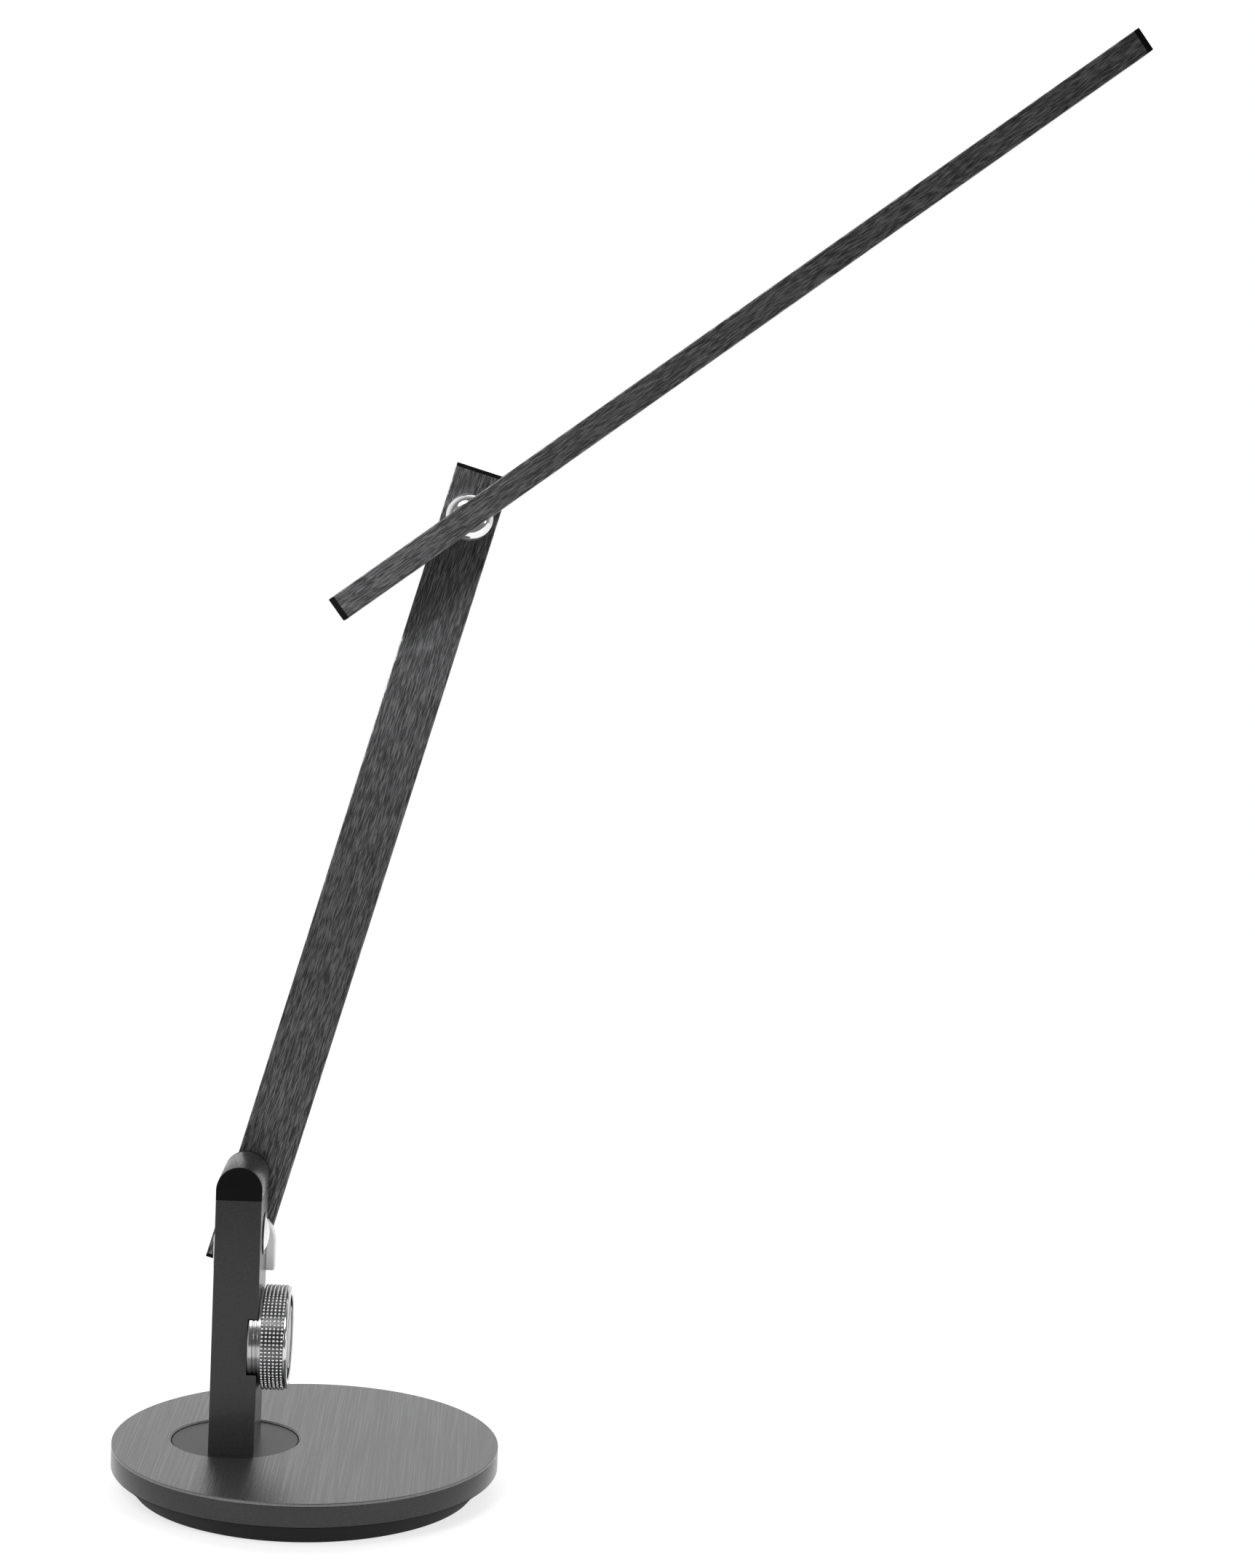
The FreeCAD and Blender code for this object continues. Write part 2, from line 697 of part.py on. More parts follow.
def build_lower_pivot():
    across = ("axis_x", "pivot_z")
    block = box("pivot_block_stock",
                ("post_width - 2 * (post_wall + block_gap)", "pivot_block_depth", "pivot_block_height"),
                ("post_left + post_wall + block_gap", "block_front", "pivot_z - pivot_block_height / 2"))
    block_hole = rod("pivot_block_hole", "bolt_radius", "pivot_block_depth",
                     ("axis_x", "block_front", "pivot_z"),
                     "Y")
    keep(cut("pivot_block", block, block_hole), "pivot_block")
    shank = rod("lower_bolt_shank", "bolt_radius",
                "arm_back + rear_washer + dome_nut_height - dome_nut_cover - block_front + bolt_head_height",
                ("axis_x", "block_front - bolt_head_height", "pivot_z"), "Y")
    head = rod("lower_bolt_head", "bolt_head_radius", "bolt_head_height",
               ("axis_x", "block_front - bolt_head_height", "pivot_z"), "Y")
    bolt = keep(fuse("lower_pivot_bolt", [shank, head]), "lower_pivot_bolt")

    low = "pivot_z - bracket_bottom_drop"
    centre = "pivot_z - bracket_centre_drop"
    sides = box("bracket_sides",
                ("2 * bracket_half_width", "bracket_thickness", "(%s) - (%s)" % (centre, low)),
                ("axis_x - bracket_half_width", "post_back", low))
    crown = half_rod("bracket_crown", "bracket_half_width", "bracket_thickness",
                     ("axis_x", "bracket_back", centre))
    stock = fuse("bracket_stock", [sides, crown])
    face = number("post_back")

    def is_front_edge(edge):
        return edge.BoundBox.YMax < face + NEAR
    bracket = bevelled("bracket_bevelled", stock, "bracket_bevel", is_front_edge)
    hole = rod("bracket_hole", "bolt_radius", "bracket_thickness", ("axis_x", "post_back", "pivot_z"), "Y")
    keep(cut("pivot_bracket", bracket, hole), "pivot_bracket")

    front = ring("lower_fibre_front", "fibre_radius", "bolt_radius", "fibre_thickness",
                 ("axis_x", "bracket_back", "pivot_z"), "Y")
    rear = ring("lower_fibre_rear", "fibre_radius", "bolt_radius", "rear_washer",
                ("axis_x", "arm_back", "pivot_z"), "Y")
    keep(group("lower_friction_washers", [front, rear]), "lower_friction_washers")

    nut = rod("dome_nut_stock", "dome_nut_radius", "dome_nut_height",
              ("axis_x", "arm_back + rear_washer", "pivot_z"),
              "Y")
    outer = number("arm_back + rear_washer + dome_nut_height")

    def is_rear_edge(edge):
        return edge.BoundBox.YMin > outer - NEAR
    nut = rounded("dome_nut_rounded", nut, "dome_nut_round", is_rear_edge)
    keep(cut("lower_pivot_nut", nut, bolt), "lower_pivot_nut")


def build_lower_arm():
    half = "arm_width / 2"
    low = "-(arm_end - arm_cap)"
    length = "arm_reach + 2 * (arm_end - arm_cap)"
    stock = box("arm_stock", ("arm_width", "arm_thickness", length), ("-" + half, "arm_front", low))
    stock = rounded("arm_stock_rounded", stock, "arm_edge_round", is_along(2))
    inside = box("arm_inside", ("arm_width - 2 * arm_wall", "arm_thickness - 2 * arm_wall", length),
                 ("-%s + arm_wall" % half, "arm_front + arm_wall", low))
    lower_hole = rod("arm_lower_hole", "bolt_hole", "arm_thickness", ("0", "arm_front", "0"), "Y")
    upper_hole = rod("arm_upper_hole", "upper_bolt_radius", "arm_thickness", ("0", "arm_front", "arm_reach"),
                     "Y")
    on_arm("lower_arm_tube", cut("arm_tube", stock, inside, lower_hole, upper_hole))

    plug_width = "arm_width - 2 * (arm_wall + spigot_gap)"
    plug_depth = "arm_thickness - 2 * (arm_wall + spigot_gap)"
    plug_corner = ("-%s + arm_wall + spigot_gap" % half, "arm_front + arm_wall + spigot_gap")
    for label, cap_low, plug_low in (
            ("arm_bottom_cap", "-arm_end", low),
            ("arm_top_cap", "arm_reach + arm_end - arm_cap",
             "arm_reach + arm_end - arm_cap - spigot_depth")):
        cap = box(label + "_plate", ("arm_width", "arm_thickness", "arm_cap"),
                  ("-" + half, "arm_front", cap_low))
        cap = rounded(label + "_rounded", cap, "arm_edge_round", is_along(1))
        plug = box(label + "_plug", (plug_width, plug_depth, "spigot_depth"), plug_corner + (plug_low,))
        on_arm(label, fuse(label + "_piece", [cap, plug]))

    inner = "arm_front + arm_wall"
    gap = "arm_thickness - 2 * arm_wall"
    lower = ring("arm_spacer_lower", "bolt_hole + spacer_wall", "bolt_hole", gap, ("0", inner, "0"), "Y")
    upper = ring("arm_spacer_upper", "upper_bolt_radius + spacer_wall", "upper_bolt_radius", gap,
                 ("0", inner, "arm_reach"), "Y")
    on_arm("arm_spacers", group("arm_spacer_pair", [lower, upper]))
    lead_x = "-bolt_hole - spacer_wall - arm_lead_radius - arm_lead_gap"
    lead = rod("arm_lead_run", "arm_lead_radius", "arm_reach + arm_end / 2",
               (lead_x, "arm_front + arm_thickness / 2", "-arm_end / 2"))
    on_arm("arm_lead", lead)


def build_upper_pivot():
    start = "spacer_front - upper_nut_height"
    shank = rod("upper_bolt_shank", "upper_bolt_radius", "arm_back - (%s)" % start,
                ("0", start, "arm_reach"), "Y")
    head = rod("upper_bolt_head", "upper_head_radius", "upper_head_height", ("0", "arm_back", "arm_reach"),
               "Y")
    rear = number("arm_back + upper_head_height")

    def is_rear_edge(edge):
        return edge.BoundBox.YMin > rear - NEAR
    head = rounded("upper_bolt_head_rounded", head, "upper_head_round", is_rear_edge)
    bolt = fuse("upper_bolt", [shank, head])
    on_arm("upper_pivot_bolt", bolt)

    dome = rod("upper_dome_stock", "dome_radius", "dome_thickness",
               ("0", "arm_front - dome_thickness", "arm_reach"),
               "Y")
    front = number("arm_front - dome_thickness")

    def is_front_edge(edge):
        return edge.BoundBox.YMax < front + NEAR
    dome = rounded("upper_dome_rounded", dome, "dome_round", is_front_edge)
    dome_hole = rod("upper_dome_hole", "upper_bolt_radius", "dome_thickness",
                    ("0", "arm_front - dome_thickness", "arm_reach"), "Y")
    on_arm("upper_pivot_dome", cut("upper_dome", dome, dome_hole))
    washer = ring("upper_fibre", "dome_radius - upper_fibre_inset", "upper_bolt_radius", "fibre_thickness",
                  ("0", "head_back", "arm_reach"), "Y")
    on_arm("upper_friction_washer", washer)
    nut = ring("upper_nut", "upper_nut_radius", "upper_bolt_radius", "upper_nut_height - upper_nut_gap",
               ("0", start, "arm_reach"), "Y")
    on_arm("upper_pivot_nut", nut)


def build_head():
    half = "head_height / 2"
    start = "-(head_tail - head_cap)"
    length = "head_tail + head_reach - 2 * head_cap"
    stock = box("head_stock", (length, "head_depth", "head_height"), (start, "head_front", "-" + half))
    stock = rounded("head_stock_rounded", stock, "head_edge_round", is_along(0))
    inside = box("head_inside", (length, "head_depth - 2 * head_wall", "head_height - 2 * head_wall"),
                 (start, "head_front + head_wall", "-%s + head_wall" % half))
    light_length = "light_end - light_start"
    slot = box("head_slot", (light_length, "light_width", "head_wall + cut_over"),
               ("light_start", "head_middle - light_width / 2", "-%s - cut_over" % half))
    hole = rod("head_hole", "upper_hole", "head_wall + cut_over",
               ("0", "head_back - head_wall - cut_over / 2", "0"), "Y")
    on_head("head_profile", cut("head_bar", stock, inside, slot, hole))

    plug_corner = ("head_front + head_wall + spigot_gap", "-%s + head_wall + spigot_gap" % half)
    plug_size = ("head_depth - 2 * (head_wall + spigot_gap)", "head_height - 2 * (head_wall + spigot_gap)")
    for label, cap_start, plug_start in (
            ("head_tail_cap", "-head_tail", start),
            ("head_tip_cap", "head_reach - head_cap", "head_reach - head_cap - spigot_depth")):
        cap = box(label + "_plate", ("head_cap", "head_depth", "head_height"),
                  (cap_start, "head_front", "-" + half))
        cap = rounded(label + "_rounded", cap, "head_edge_round", is_along(1))
        plug = box(label + "_plug", ("spigot_depth",) + plug_size, (plug_start,) + plug_corner)
        on_head(label, fuse(label + "_piece", [cap, plug]))

    gap = "head_wall + counterweight_gap"
    slug = box("counterweight_bar",
               ("counterweight_length", "head_depth - 2 * (%s)" % gap, "head_height - 2 * (%s)" % gap),
               ("%s + spigot_depth + counterweight_gap" % start, "head_front + " + gap,
                "-%s + %s" % (half, gap)))
    on_head("counterweight", slug)
    spacer = ring("head_spacer_tube", "head_spacer_radius", "upper_hole", "head_spacer_length",
                  ("0", "spacer_front", "0"), "Y")
    on_head("head_spacer", spacer)

    board = box("led_board_strip", (light_length, "led_board_width", "board_thickness"),
                ("light_start", "head_middle - led_board_width / 2", "board_bottom"))
    on_head("led_board", board)
    chips = []
    chip_count = int(number("(%s - led_pitch) / led_pitch" % light_length))
    for index in range(chip_count):
        x = "light_start + (%d + 0.5) * led_pitch" % index
        chips.append(box("led_%d" % (index + 1), ("led_size", "led_size", "led_height"),
                         (x, "head_middle - led_size / 2", "board_bottom - led_height")))
    on_head("led_chips", group("led_row", chips))

    window = box("diffuser_window", (light_length, "light_width", "head_wall"),
                 ("light_start", "head_middle - light_width / 2", "-" + half))
    flange = box("diffuser_flange",
                 (light_length, "light_width + 2 * diffuser_flange", "diffuser_flange_height"),
                 ("light_start", "head_middle - light_width / 2 - diffuser_flange",
                  "-%s + head_wall" % half))
    on_head("diffuser", fuse("diffuser_piece", [window, flange]))


def check_document():
    doc.recompute()
    bad = [item.Name for item in doc.Objects if "Invalid" in item.State or "Error" in item.State]
    for label, item in nodes.items():
        if item.Shape.isNull() or not item.Shape.isValid() or not item.Shape.Solids:
            bad.append(label)
    if bad:
        raise RuntimeError("failed pieces: " + ", ".join(bad))


def write_parts():
    os.makedirs("parts", exist_ok=True)
    for label, item in nodes.items():
        item.Shape.exportStep("parts/%s.step" % label)
    print(len(nodes), "nodes written")


fill_sheet()
build_base()
build_swivel()
build_inlet()
build_post()
build_arch()
build_knob()
build_electronics()
build_button()
build_lower_pivot()
build_lower_arm()
build_upper_pivot()
build_head()
check_document()
write_parts()
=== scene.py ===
"""Looks of the balance-arm desk lamp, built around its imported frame. Metres, +Z up."""
import json
import math

import bmesh
import bpy
from bpy.props import FloatProperty, FloatVectorProperty, IntProperty, PointerProperty
from mathutils import Matrix, Quaternion, Vector


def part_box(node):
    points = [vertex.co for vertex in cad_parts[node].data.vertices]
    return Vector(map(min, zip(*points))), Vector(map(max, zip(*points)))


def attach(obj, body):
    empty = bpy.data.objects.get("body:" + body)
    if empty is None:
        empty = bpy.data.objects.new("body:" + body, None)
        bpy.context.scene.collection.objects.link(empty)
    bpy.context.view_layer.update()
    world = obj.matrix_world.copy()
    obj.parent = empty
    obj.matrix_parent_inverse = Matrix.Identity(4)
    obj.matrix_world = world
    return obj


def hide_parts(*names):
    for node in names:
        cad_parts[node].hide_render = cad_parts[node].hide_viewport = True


bl_info = {
    "name": "Balance-arm desk lamp",
    "version": (1, 0, 0),
    "blender": (4, 5, 0),
    "location": "View3D > Sidebar > Desk lamp",
    "description": "Builds the finishes, detailed pieces and studio of a balance-arm desk lamp",
    "category": "Object",
}

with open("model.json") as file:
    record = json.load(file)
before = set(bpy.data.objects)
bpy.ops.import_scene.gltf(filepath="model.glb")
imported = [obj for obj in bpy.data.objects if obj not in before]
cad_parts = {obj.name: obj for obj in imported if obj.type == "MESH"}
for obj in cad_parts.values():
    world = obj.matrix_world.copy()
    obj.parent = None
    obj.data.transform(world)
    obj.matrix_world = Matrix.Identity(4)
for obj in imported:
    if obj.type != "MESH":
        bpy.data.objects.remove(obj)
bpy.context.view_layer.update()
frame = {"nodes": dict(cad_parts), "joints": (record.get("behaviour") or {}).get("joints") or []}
nodes = frame["nodes"]
joints = {joint["name"]: joint for joint in frame["joints"]}

MM = 0.001
FULL_TURN = 2 * math.pi
ROUND_STEPS = 192
SMALL_STEPS = 96
ARCH_STEPS = 48


def joint_spot(name):
    """Where a joint's axis passes, in metres."""
    return Vector(joints[name]["pos_m"])


def middle(node):
    """The middle of a node's box."""
    low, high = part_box(node)
    return (low + high) / 2


def bar_angle(cap_low, cap_high):
    """The angle above level of the line between a bar's two end caps."""
    run = middle(cap_high) - middle(cap_low)
    return math.atan2(run.z, run.x)


ARM_SLOPE = bar_angle("arm_bottom_cap", "arm_top_cap")
HEAD_SLOPE = bar_angle("head_tail_cap", "head_tip_cap")


# ---------------------------------------------------------------- settings

def length(name, default, description):
    return FloatProperty(name=name, description=description, default=default, min=0.0,
                         unit="LENGTH", subtype="DISTANCE")


def shade(name, default, description):
    return FloatVectorProperty(name=name, description=description, default=default, size=3,
                               min=0.0, max=1.0, subtype="COLOR")


class LampSizes(bpy.types.PropertyGroup):
    """Sizes of the details that the frame leaves open."""
    undercut_width: length("Undercut width", 8.0 * MM, "How far the tray draws in below the rim")
    undercut_height: length("Undercut height", 6.4 * MM, "Height of the tray's upper slope")
    rim_wall: length("Rim wall", 4.0 * MM, "Thickness of the painted rim")
    tray_taper: length("Tray taper", 4.5 * MM, "How far the bottom tray draws in towards the table")
    edge_round: length("Edge round", 0.45 * MM, "Rounding on turned and moulded edges")
    bracket_bevel: length("Bracket bevel", 1.4 * MM, "Bevel around the pivot bracket's front")
    dot_pitch: length("Dot pitch", 2.1 * MM, "Spacing of the raised dots on the knob's grip")
    dot_height: length("Dot height", 0.75 * MM, "How far each dot stands off the grip")
    dot_rows: IntProperty(name="Dot rows", description="Rows of dots along the knob", default=6, min=1)
    groove_depth: length("Groove depth", 0.6 * MM, "Depth of the rings turned into the knob's hub")
    button_dome: length("Button dome", 2.6 * MM, "Height of the domed button above its skirt")


class LampColours(bpy.types.PropertyGroup):
    """Base colours of the finishes."""
    brushed: shade("Brushed metal", (0.165, 0.165, 0.169), "Dark anodised brushed aluminium")
    paint: shade("Painted metal", (0.029, 0.029, 0.030), "Satin charcoal paint")
    chrome: shade("Chrome", (0.80, 0.80, 0.81), "Polished plating")
    plastic: shade("Black plastic", (0.008, 0.008, 0.008), "Moulded caps and tray")
    opal: shade("Opal diffuser", (0.86, 0.86, 0.84), "Light bar window")
    floor: shade("Floor", (0.50, 0.50, 0.50), "Plain pale floor")


class StageSettings(bpy.types.PropertyGroup):
    """Where the camera stands and how it looks."""
    place: FloatVectorProperty(name="Camera place", description="Where the camera stands",
                               default=(0.0959, -1.5609, 0.5261), size=3, subtype="TRANSLATION",
                               unit="LENGTH")
    yaw: FloatProperty(name="Camera yaw", description="Turn to the right of straight ahead",
                       default=0.0412, subtype="ANGLE", unit="ROTATION")
    pitch: FloatProperty(name="Camera pitch", description="Tilt below the horizon",
                         default=0.0854, subtype="ANGLE", unit="ROTATION")
    roll: FloatProperty(name="Camera roll", description="Lean of the picture", default=0.0432,
                        subtype="ANGLE", unit="ROTATION")
    lens: FloatProperty(name="Lens", description="Focal length in millimetres on a 36 mm long side",
                        default=66.84, min=1.0)


# ---------------------------------------------------------------- shader building

class Wire:
    """A node socket that can be used in sums and products."""

    def __init__(self, finish, socket):
        self.finish = finish
        self.socket = socket

    def maths(self, operation, first, second=0.0):
        return self.finish.node("ShaderNodeMath", {"operation": operation}, {0: first, 1: second})

    def __add__(self, other):
        return self.maths("ADD", self, other)

    def __mul__(self, other):
        return self.maths("MULTIPLY", self, other)

    def __sub__(self, other):
        return self.maths("SUBTRACT", self, other)

    def __rsub__(self, other):
        return self.maths("SUBTRACT", other, self)

    __radd__ = __add__
    __rmul__ = __mul__


class Finish:
    """A material or a world under construction."""

    def __init__(self, name, world=None):
        self.material = world or bpy.data.materials.new(name)
        self.material.use_nodes = True
        self.tree = self.material.node_tree
        self.shader = self.tree.nodes.get("Principled BSDF")

    def node(self, kind, settings=None, inputs=None, output=0):
        made = self.tree.nodes.new(kind)
        for key, value in (settings or {}).items():
            if key == "stops":
                ramp = made.color_ramp
                ramp.elements[0].position, ramp.elements[1].position = value[0][0], value[-1][0]
                ramp.elements[0].color, ramp.elements[1].color = grey(value[0][1]), grey(value[-1][1])
                for position, level in value[1:-1]:
                    ramp.elements.new(position).color = grey(level)
            else:
                setattr(made, key, value)
        for key, value in (inputs or {}).items():
            self.feed(made.inputs[key], value)
        return Wire(self, made.outputs[output])

    def feed(self, socket, value):
        if isinstance(value, Wire):
            self.tree.links.new(value.socket, socket)
        else:
            socket.default_value = value

    def set(self, **values):
        for key, value in values.items():
            self.feed(self.shader.inputs[key.replace("_", " ")], value)
        return self

    def spot(self, scale, turn=(0.0, 0.0, 0.0)):
        """Object coordinates, turned onto a piece and then stretched."""
        here = self.node("ShaderNodeTexCoord", output="Object")
        turned = self.node("ShaderNodeMapping", {"vector_type": "POINT"}, {"Vector": here, "Rotation": turn})
        return self.node("ShaderNodeMapping", {"vector_type": "POINT"}, {"Vector": turned, "Scale": scale})

    def noise(self, scale, turn=(0.0, 0.0, 0.0), detail=2.0, rough=0.5):
        return self.node("ShaderNodeTexNoise", {}, {"Vector": self.spot(scale, turn), "Scale": 1.0,
                                                    "Detail": detail, "Roughness": rough})

    def ramp(self, value, *stops):
        return self.node("ShaderNodeValToRGB", {"stops": stops}, {0: value})

    def mix(self, amount, first, second):
        return self.node("ShaderNodeMix", {"data_type": "RGBA"},
                         {"Factor": amount, 6: tuple(first) + (1.0,), 7: tuple(second) + (1.0,)}, 2)

    def bump(self, height, strength, distance):
        return self.node("ShaderNodeBump", {},
                         {"Height": height, "Strength": strength, "Distance": distance},
                         "Normal")


def grey(level):
    return (level, level, level, 1.0)


def times(colour, factor):
    return tuple(min(1.0, channel * factor) for channel in colour)


def brushed_finish(name, colour, grain, turn=(0.0, 0.0, 0.0), contrast=0.6, roughness=0.34,
                   metal=0.85):
    """Directional brushing: crisp short scratches over a fine grain, all drawn along one axis. The scratches
    are painted lighter in the base colour: partly the brushed tone, partly a painted glint.
    """
    finish = Finish(name)
    fine = finish.noise(tuple(1.5 * part for part in grain), turn, 1.0)
    short = finish.noise(grain, turn, 1.0)
    scratches_and_glints = finish.ramp(short * 0.5 + fine * 0.5, (0.51, 0.0), (0.60, 1.0))
    grooves = finish.ramp(fine, (0.34, 0.0), (0.58, 1.0))
    streak_and_glint = scratches_and_glints * 0.65 + grooves * 0.35
    # The streaks mix towards a colour up to 1 + 1.6 × contrast brighter: brushed tone and a painted glint
    # together.
    low, high = times(colour, 1.0 - contrast), times(colour, 1.0 + contrast * 1.6)
    finish.set(Base_Color=finish.mix(streak_and_glint, low, high),
               Metallic=metal,
               Roughness=roughness - 0.12 * (scratches_and_glints - 0.5) + 0.08 * (short - 0.5),
               Normal=finish.bump(streak_and_glint, 0.35, 0.00006))
    return finish.material


def paint_finish(name, colour, roughness=0.36, grain=0.55, coat_weight=0.0):
    """Satin powder paint with a fine sparkle and a soft mottle."""
    finish = Finish(name)
    fine = finish.noise((1900.0, 1900.0, 1900.0), detail=2.0)
    mottle = finish.noise((700.0, 700.0, 700.0), detail=3.0)
    dust = finish.ramp(finish.noise((900.0, 900.0, 900.0), detail=1.0), (0.74, 0.0), (0.80, 1.0))
    tone = fine * 0.55 + mottle * 0.45
    finish.set(Base_Color=finish.mix(tone + dust * 0.35, times(colour, 1 - grain), times(colour, 1 + grain)),
               Roughness=roughness + 0.16 * (fine - 0.5) + 0.08 * (mottle - 0.5),
               Metallic=0.25,
               Specular_IOR_Level=0.33,
               Coat_Weight=coat_weight,
               Coat_Roughness=0.14,
               Normal=finish.bump(fine * 0.6 + mottle * 0.4, 0.3, 0.0001))
    return finish.material


def chrome_finish(name, colour, roughness=0.07):
    """Polished plating with a faint haze and hairline wipe marks."""
    finish = Finish(name)
    haze = finish.noise((70.0, 70.0, 70.0), detail=4.0)
    wipe = finish.noise((60.0, 1800.0, 1800.0), detail=2.0)
    finish.set(Base_Color=finish.mix(haze, times(colour, 0.92), times(colour, 1.06)),
               Metallic=1.0,
               Roughness=roughness + 0.05 * haze + 0.03 * wipe,
               Normal=finish.bump(wipe, 0.03, 0.00003))
    return finish.material


def satin_finish(name, colour):
    """Pale bead-blasted metal that scatters what it reflects."""
    finish = Finish(name)
    beads = finish.noise((3000.0, 3000.0, 3000.0), detail=1.0)
    cloud = finish.noise((60.0, 60.0, 60.0), detail=3.0)
    finish.set(Base_Color=finish.mix(cloud * 0.6 + beads * 0.4, times(colour, 0.94), times(colour, 1.05)),
               Metallic=0.15,
               Roughness=0.36 + 0.1 * (beads - 0.5) + 0.06 * (cloud - 0.5),
               Normal=finish.bump(beads, 0.08, 0.00004))
    return finish.material


def plastic_finish(name, colour, roughness=0.45, grain=1500.0, lift=0.35, gloss=0.2):
    """Moulded plastic with a spark-eroded grain and slightly polished high spots."""
    finish = Finish(name)
    pits = finish.noise((grain, grain, grain), detail=2.0)
    cloud = finish.noise((90.0, 90.0, 90.0), detail=2.0)
    finish.set(Base_Color=finish.mix(cloud * 0.5 + pits * 0.5, times(colour, 1 - lift),
                                     times(colour, 1 + lift)),
               Roughness=roughness + 0.14 * (pits - 0.5) + 0.08 * (cloud - 0.5),
               Specular_IOR_Level=gloss,
               Normal=finish.bump(pits, 0.18, 0.00006))
    return finish.material


def machined_finish(name, colour, roughness=0.30, rings=900.0):
    """Turned or plated metal with tool lines and a little dulling."""
    finish = Finish(name)
    lines = finish.noise((rings, rings, rings * 2.5), detail=1.0)
    dull = finish.noise((120.0, 120.0, 120.0), detail=3.0)
    finish.set(Base_Color=finish.mix(dull, times(colour, 0.75), times(colour, 1.15)),
               Metallic=1.0,
               Roughness=roughness + 0.12 * (lines - 0.5) + 0.12 * (dull - 0.5),
               Normal=finish.bump(lines, 0.12, 0.00005))
    return finish.material


def cast_finish(name, colour):
    """Rough sand-cast iron."""
    finish = Finish(name)
    sand = finish.noise((500.0, 500.0, 500.0), detail=5.0, rough=0.6)
    stain = finish.noise((45.0, 45.0, 45.0), detail=3.0)
    finish.set(Base_Color=finish.mix(stain, times(colour, 0.7), times(colour, 1.3)),
               Metallic=0.6,
               Roughness=0.65 + 0.2 * (sand - 0.5),
               Normal=finish.bump(sand, 0.6, 0.0003))
    return finish.material


def opal_finish(name, colour):
    """Milky acrylic, satin outside, with a faint flow pattern."""
    finish = Finish(name)
    flow = finish.noise((30.0, 200.0, 30.0), detail=2.0)
    skin = finish.noise((1800.0, 1800.0, 1800.0), detail=1.0)
    finish.set(Base_Color=finish.mix(flow, times(colour, 0.97), times(colour, 1.03)),
               Roughness=0.32 + 0.1 * (skin - 0.5),
               Normal=finish.bump(skin, 0.05, 0.00004))
    finish.shader.inputs["Subsurface Weight"].default_value = 0.15
    finish.shader.inputs["Subsurface Scale"].default_value = 0.003
    return finish.material


def board_finish(name, mask, copper):
    """Solder mask over faint copper runs."""
    finish = Finish(name)
    runs = finish.node("ShaderNodeTexBrick", {"offset": 0.5},
                       {"Vector": finish.spot((260.0, 260.0, 260.0)), "Color1": grey(0.0),
                        "Color2": grey(0.0),
                        "Mortar": grey(1.0), "Scale": 1.0, "Mortar Size": 0.06})
    finish.set(Base_Color=finish.mix(runs, mask, copper), Roughness=0.35 + 0.2 * runs)
    return finish.material


# ---------------------------------------------------------------- modelling

def deselect():
    if bpy.context.object and bpy.context.object.mode != "OBJECT":
        bpy.ops.object.mode_set(mode="OBJECT")
    bpy.ops.object.select_all(action="DESELECT")


def activate(piece):
    deselect()
    piece.select_set(True)
    bpy.context.view_layer.objects.active = piece


def wire_outline(name, corners, closed=True):
    """A new object that holds one line through the corners."""
    mesh = bpy.data.meshes.new(name)
    count = len(corners)
    edges = [(here, here + 1) for here in range(count - 1)]
    if closed:
        edges.append((count - 1, 0))
    mesh.from_pydata([tuple(corner) for corner in corners], edges, [])
    piece = bpy.data.objects.new(name, mesh)
    bpy.context.scene.collection.objects.link(piece)
    return piece


def apply_modifier(piece, kind, **settings):
    activate(piece)
    modifier = piece.modifiers.new(kind.title(), kind)
    for key, value in settings.items():
        setattr(modifier, key, value)
    bpy.ops.object.modifier_apply(modifier=modifier.name)


def soften(piece, width, segments=3, degrees=25.0):
    apply_modifier(piece, "BEVEL", width=width, segments=segments, limit_method="ANGLE",
                   angle_limit=math.radians(degrees), harden_normals=False)


def smooth(piece, degrees=32.0):
    activate(piece)
    bpy.ops.object.shade_smooth_by_angle(angle=math.radians(degrees))


def clean(piece):
    """Weld what meets and point every face outwards."""
    activate(piece)
    bpy.ops.object.mode_set(mode="EDIT")
    bpy.ops.mesh.select_all(action="SELECT")
    bpy.ops.mesh.remove_doubles(threshold=0.000002)
    bpy.ops.mesh.normals_make_consistent(inside=False)
    bpy.ops.object.mode_set(mode="OBJECT")


def lathe(name, outline, centre, axis, steps=SMALL_STEPS, closed=True):
    """Spin an outline of (radius, distance along the axis) pairs about an axis through the centre."""
    along = Vector(axis)
    out = Vector((0, 0, 1)) if abs(along.z) < 0.5 else Vector((1, 0, 0))
    corners = [centre + out * radius + along * travel for radius, travel in outline]
    piece = wire_outline(name, corners, closed)
    activate(piece)
    bpy.ops.object.mode_set(mode="EDIT")
    bpy.ops.mesh.select_all(action="SELECT")
    bpy.ops.mesh.spin(steps=steps, angle=FULL_TURN, center=centre, axis=along)
    bpy.ops.object.mode_set(mode="OBJECT")
    clean(piece)
    return piece


def dome_outline(radius, height, start, steps=10, pole=0.0):
    """Points of a shallow spherical cap, from its rim to its pole."""
    ball = (radius * radius + height * height) / (2 * height)
    reach = math.asin(min(1.0, radius / ball))
    points = []
    for step in range(steps + 1):
        angle = reach * (1 - step / steps)
        across = max(pole, ball * math.sin(angle))
        points.append((across, start + ball * math.cos(angle) - (ball - height)))
    return points


def extruded(name, corners, depth):
    """A flat outline in an XZ plane, filled and drawn out along +Y."""
    piece = wire_outline(name, corners)
    activate(piece)
    bpy.ops.object.mode_set(mode="EDIT")
    bpy.ops.mesh.select_all(action="SELECT")
    bpy.ops.mesh.edge_face_add()
    bpy.ops.mesh.extrude_region_move(TRANSFORM_OT_translate={"value": (0, depth, 0)})
    bpy.ops.object.mode_set(mode="OBJECT")
    clean(piece)
    return piece


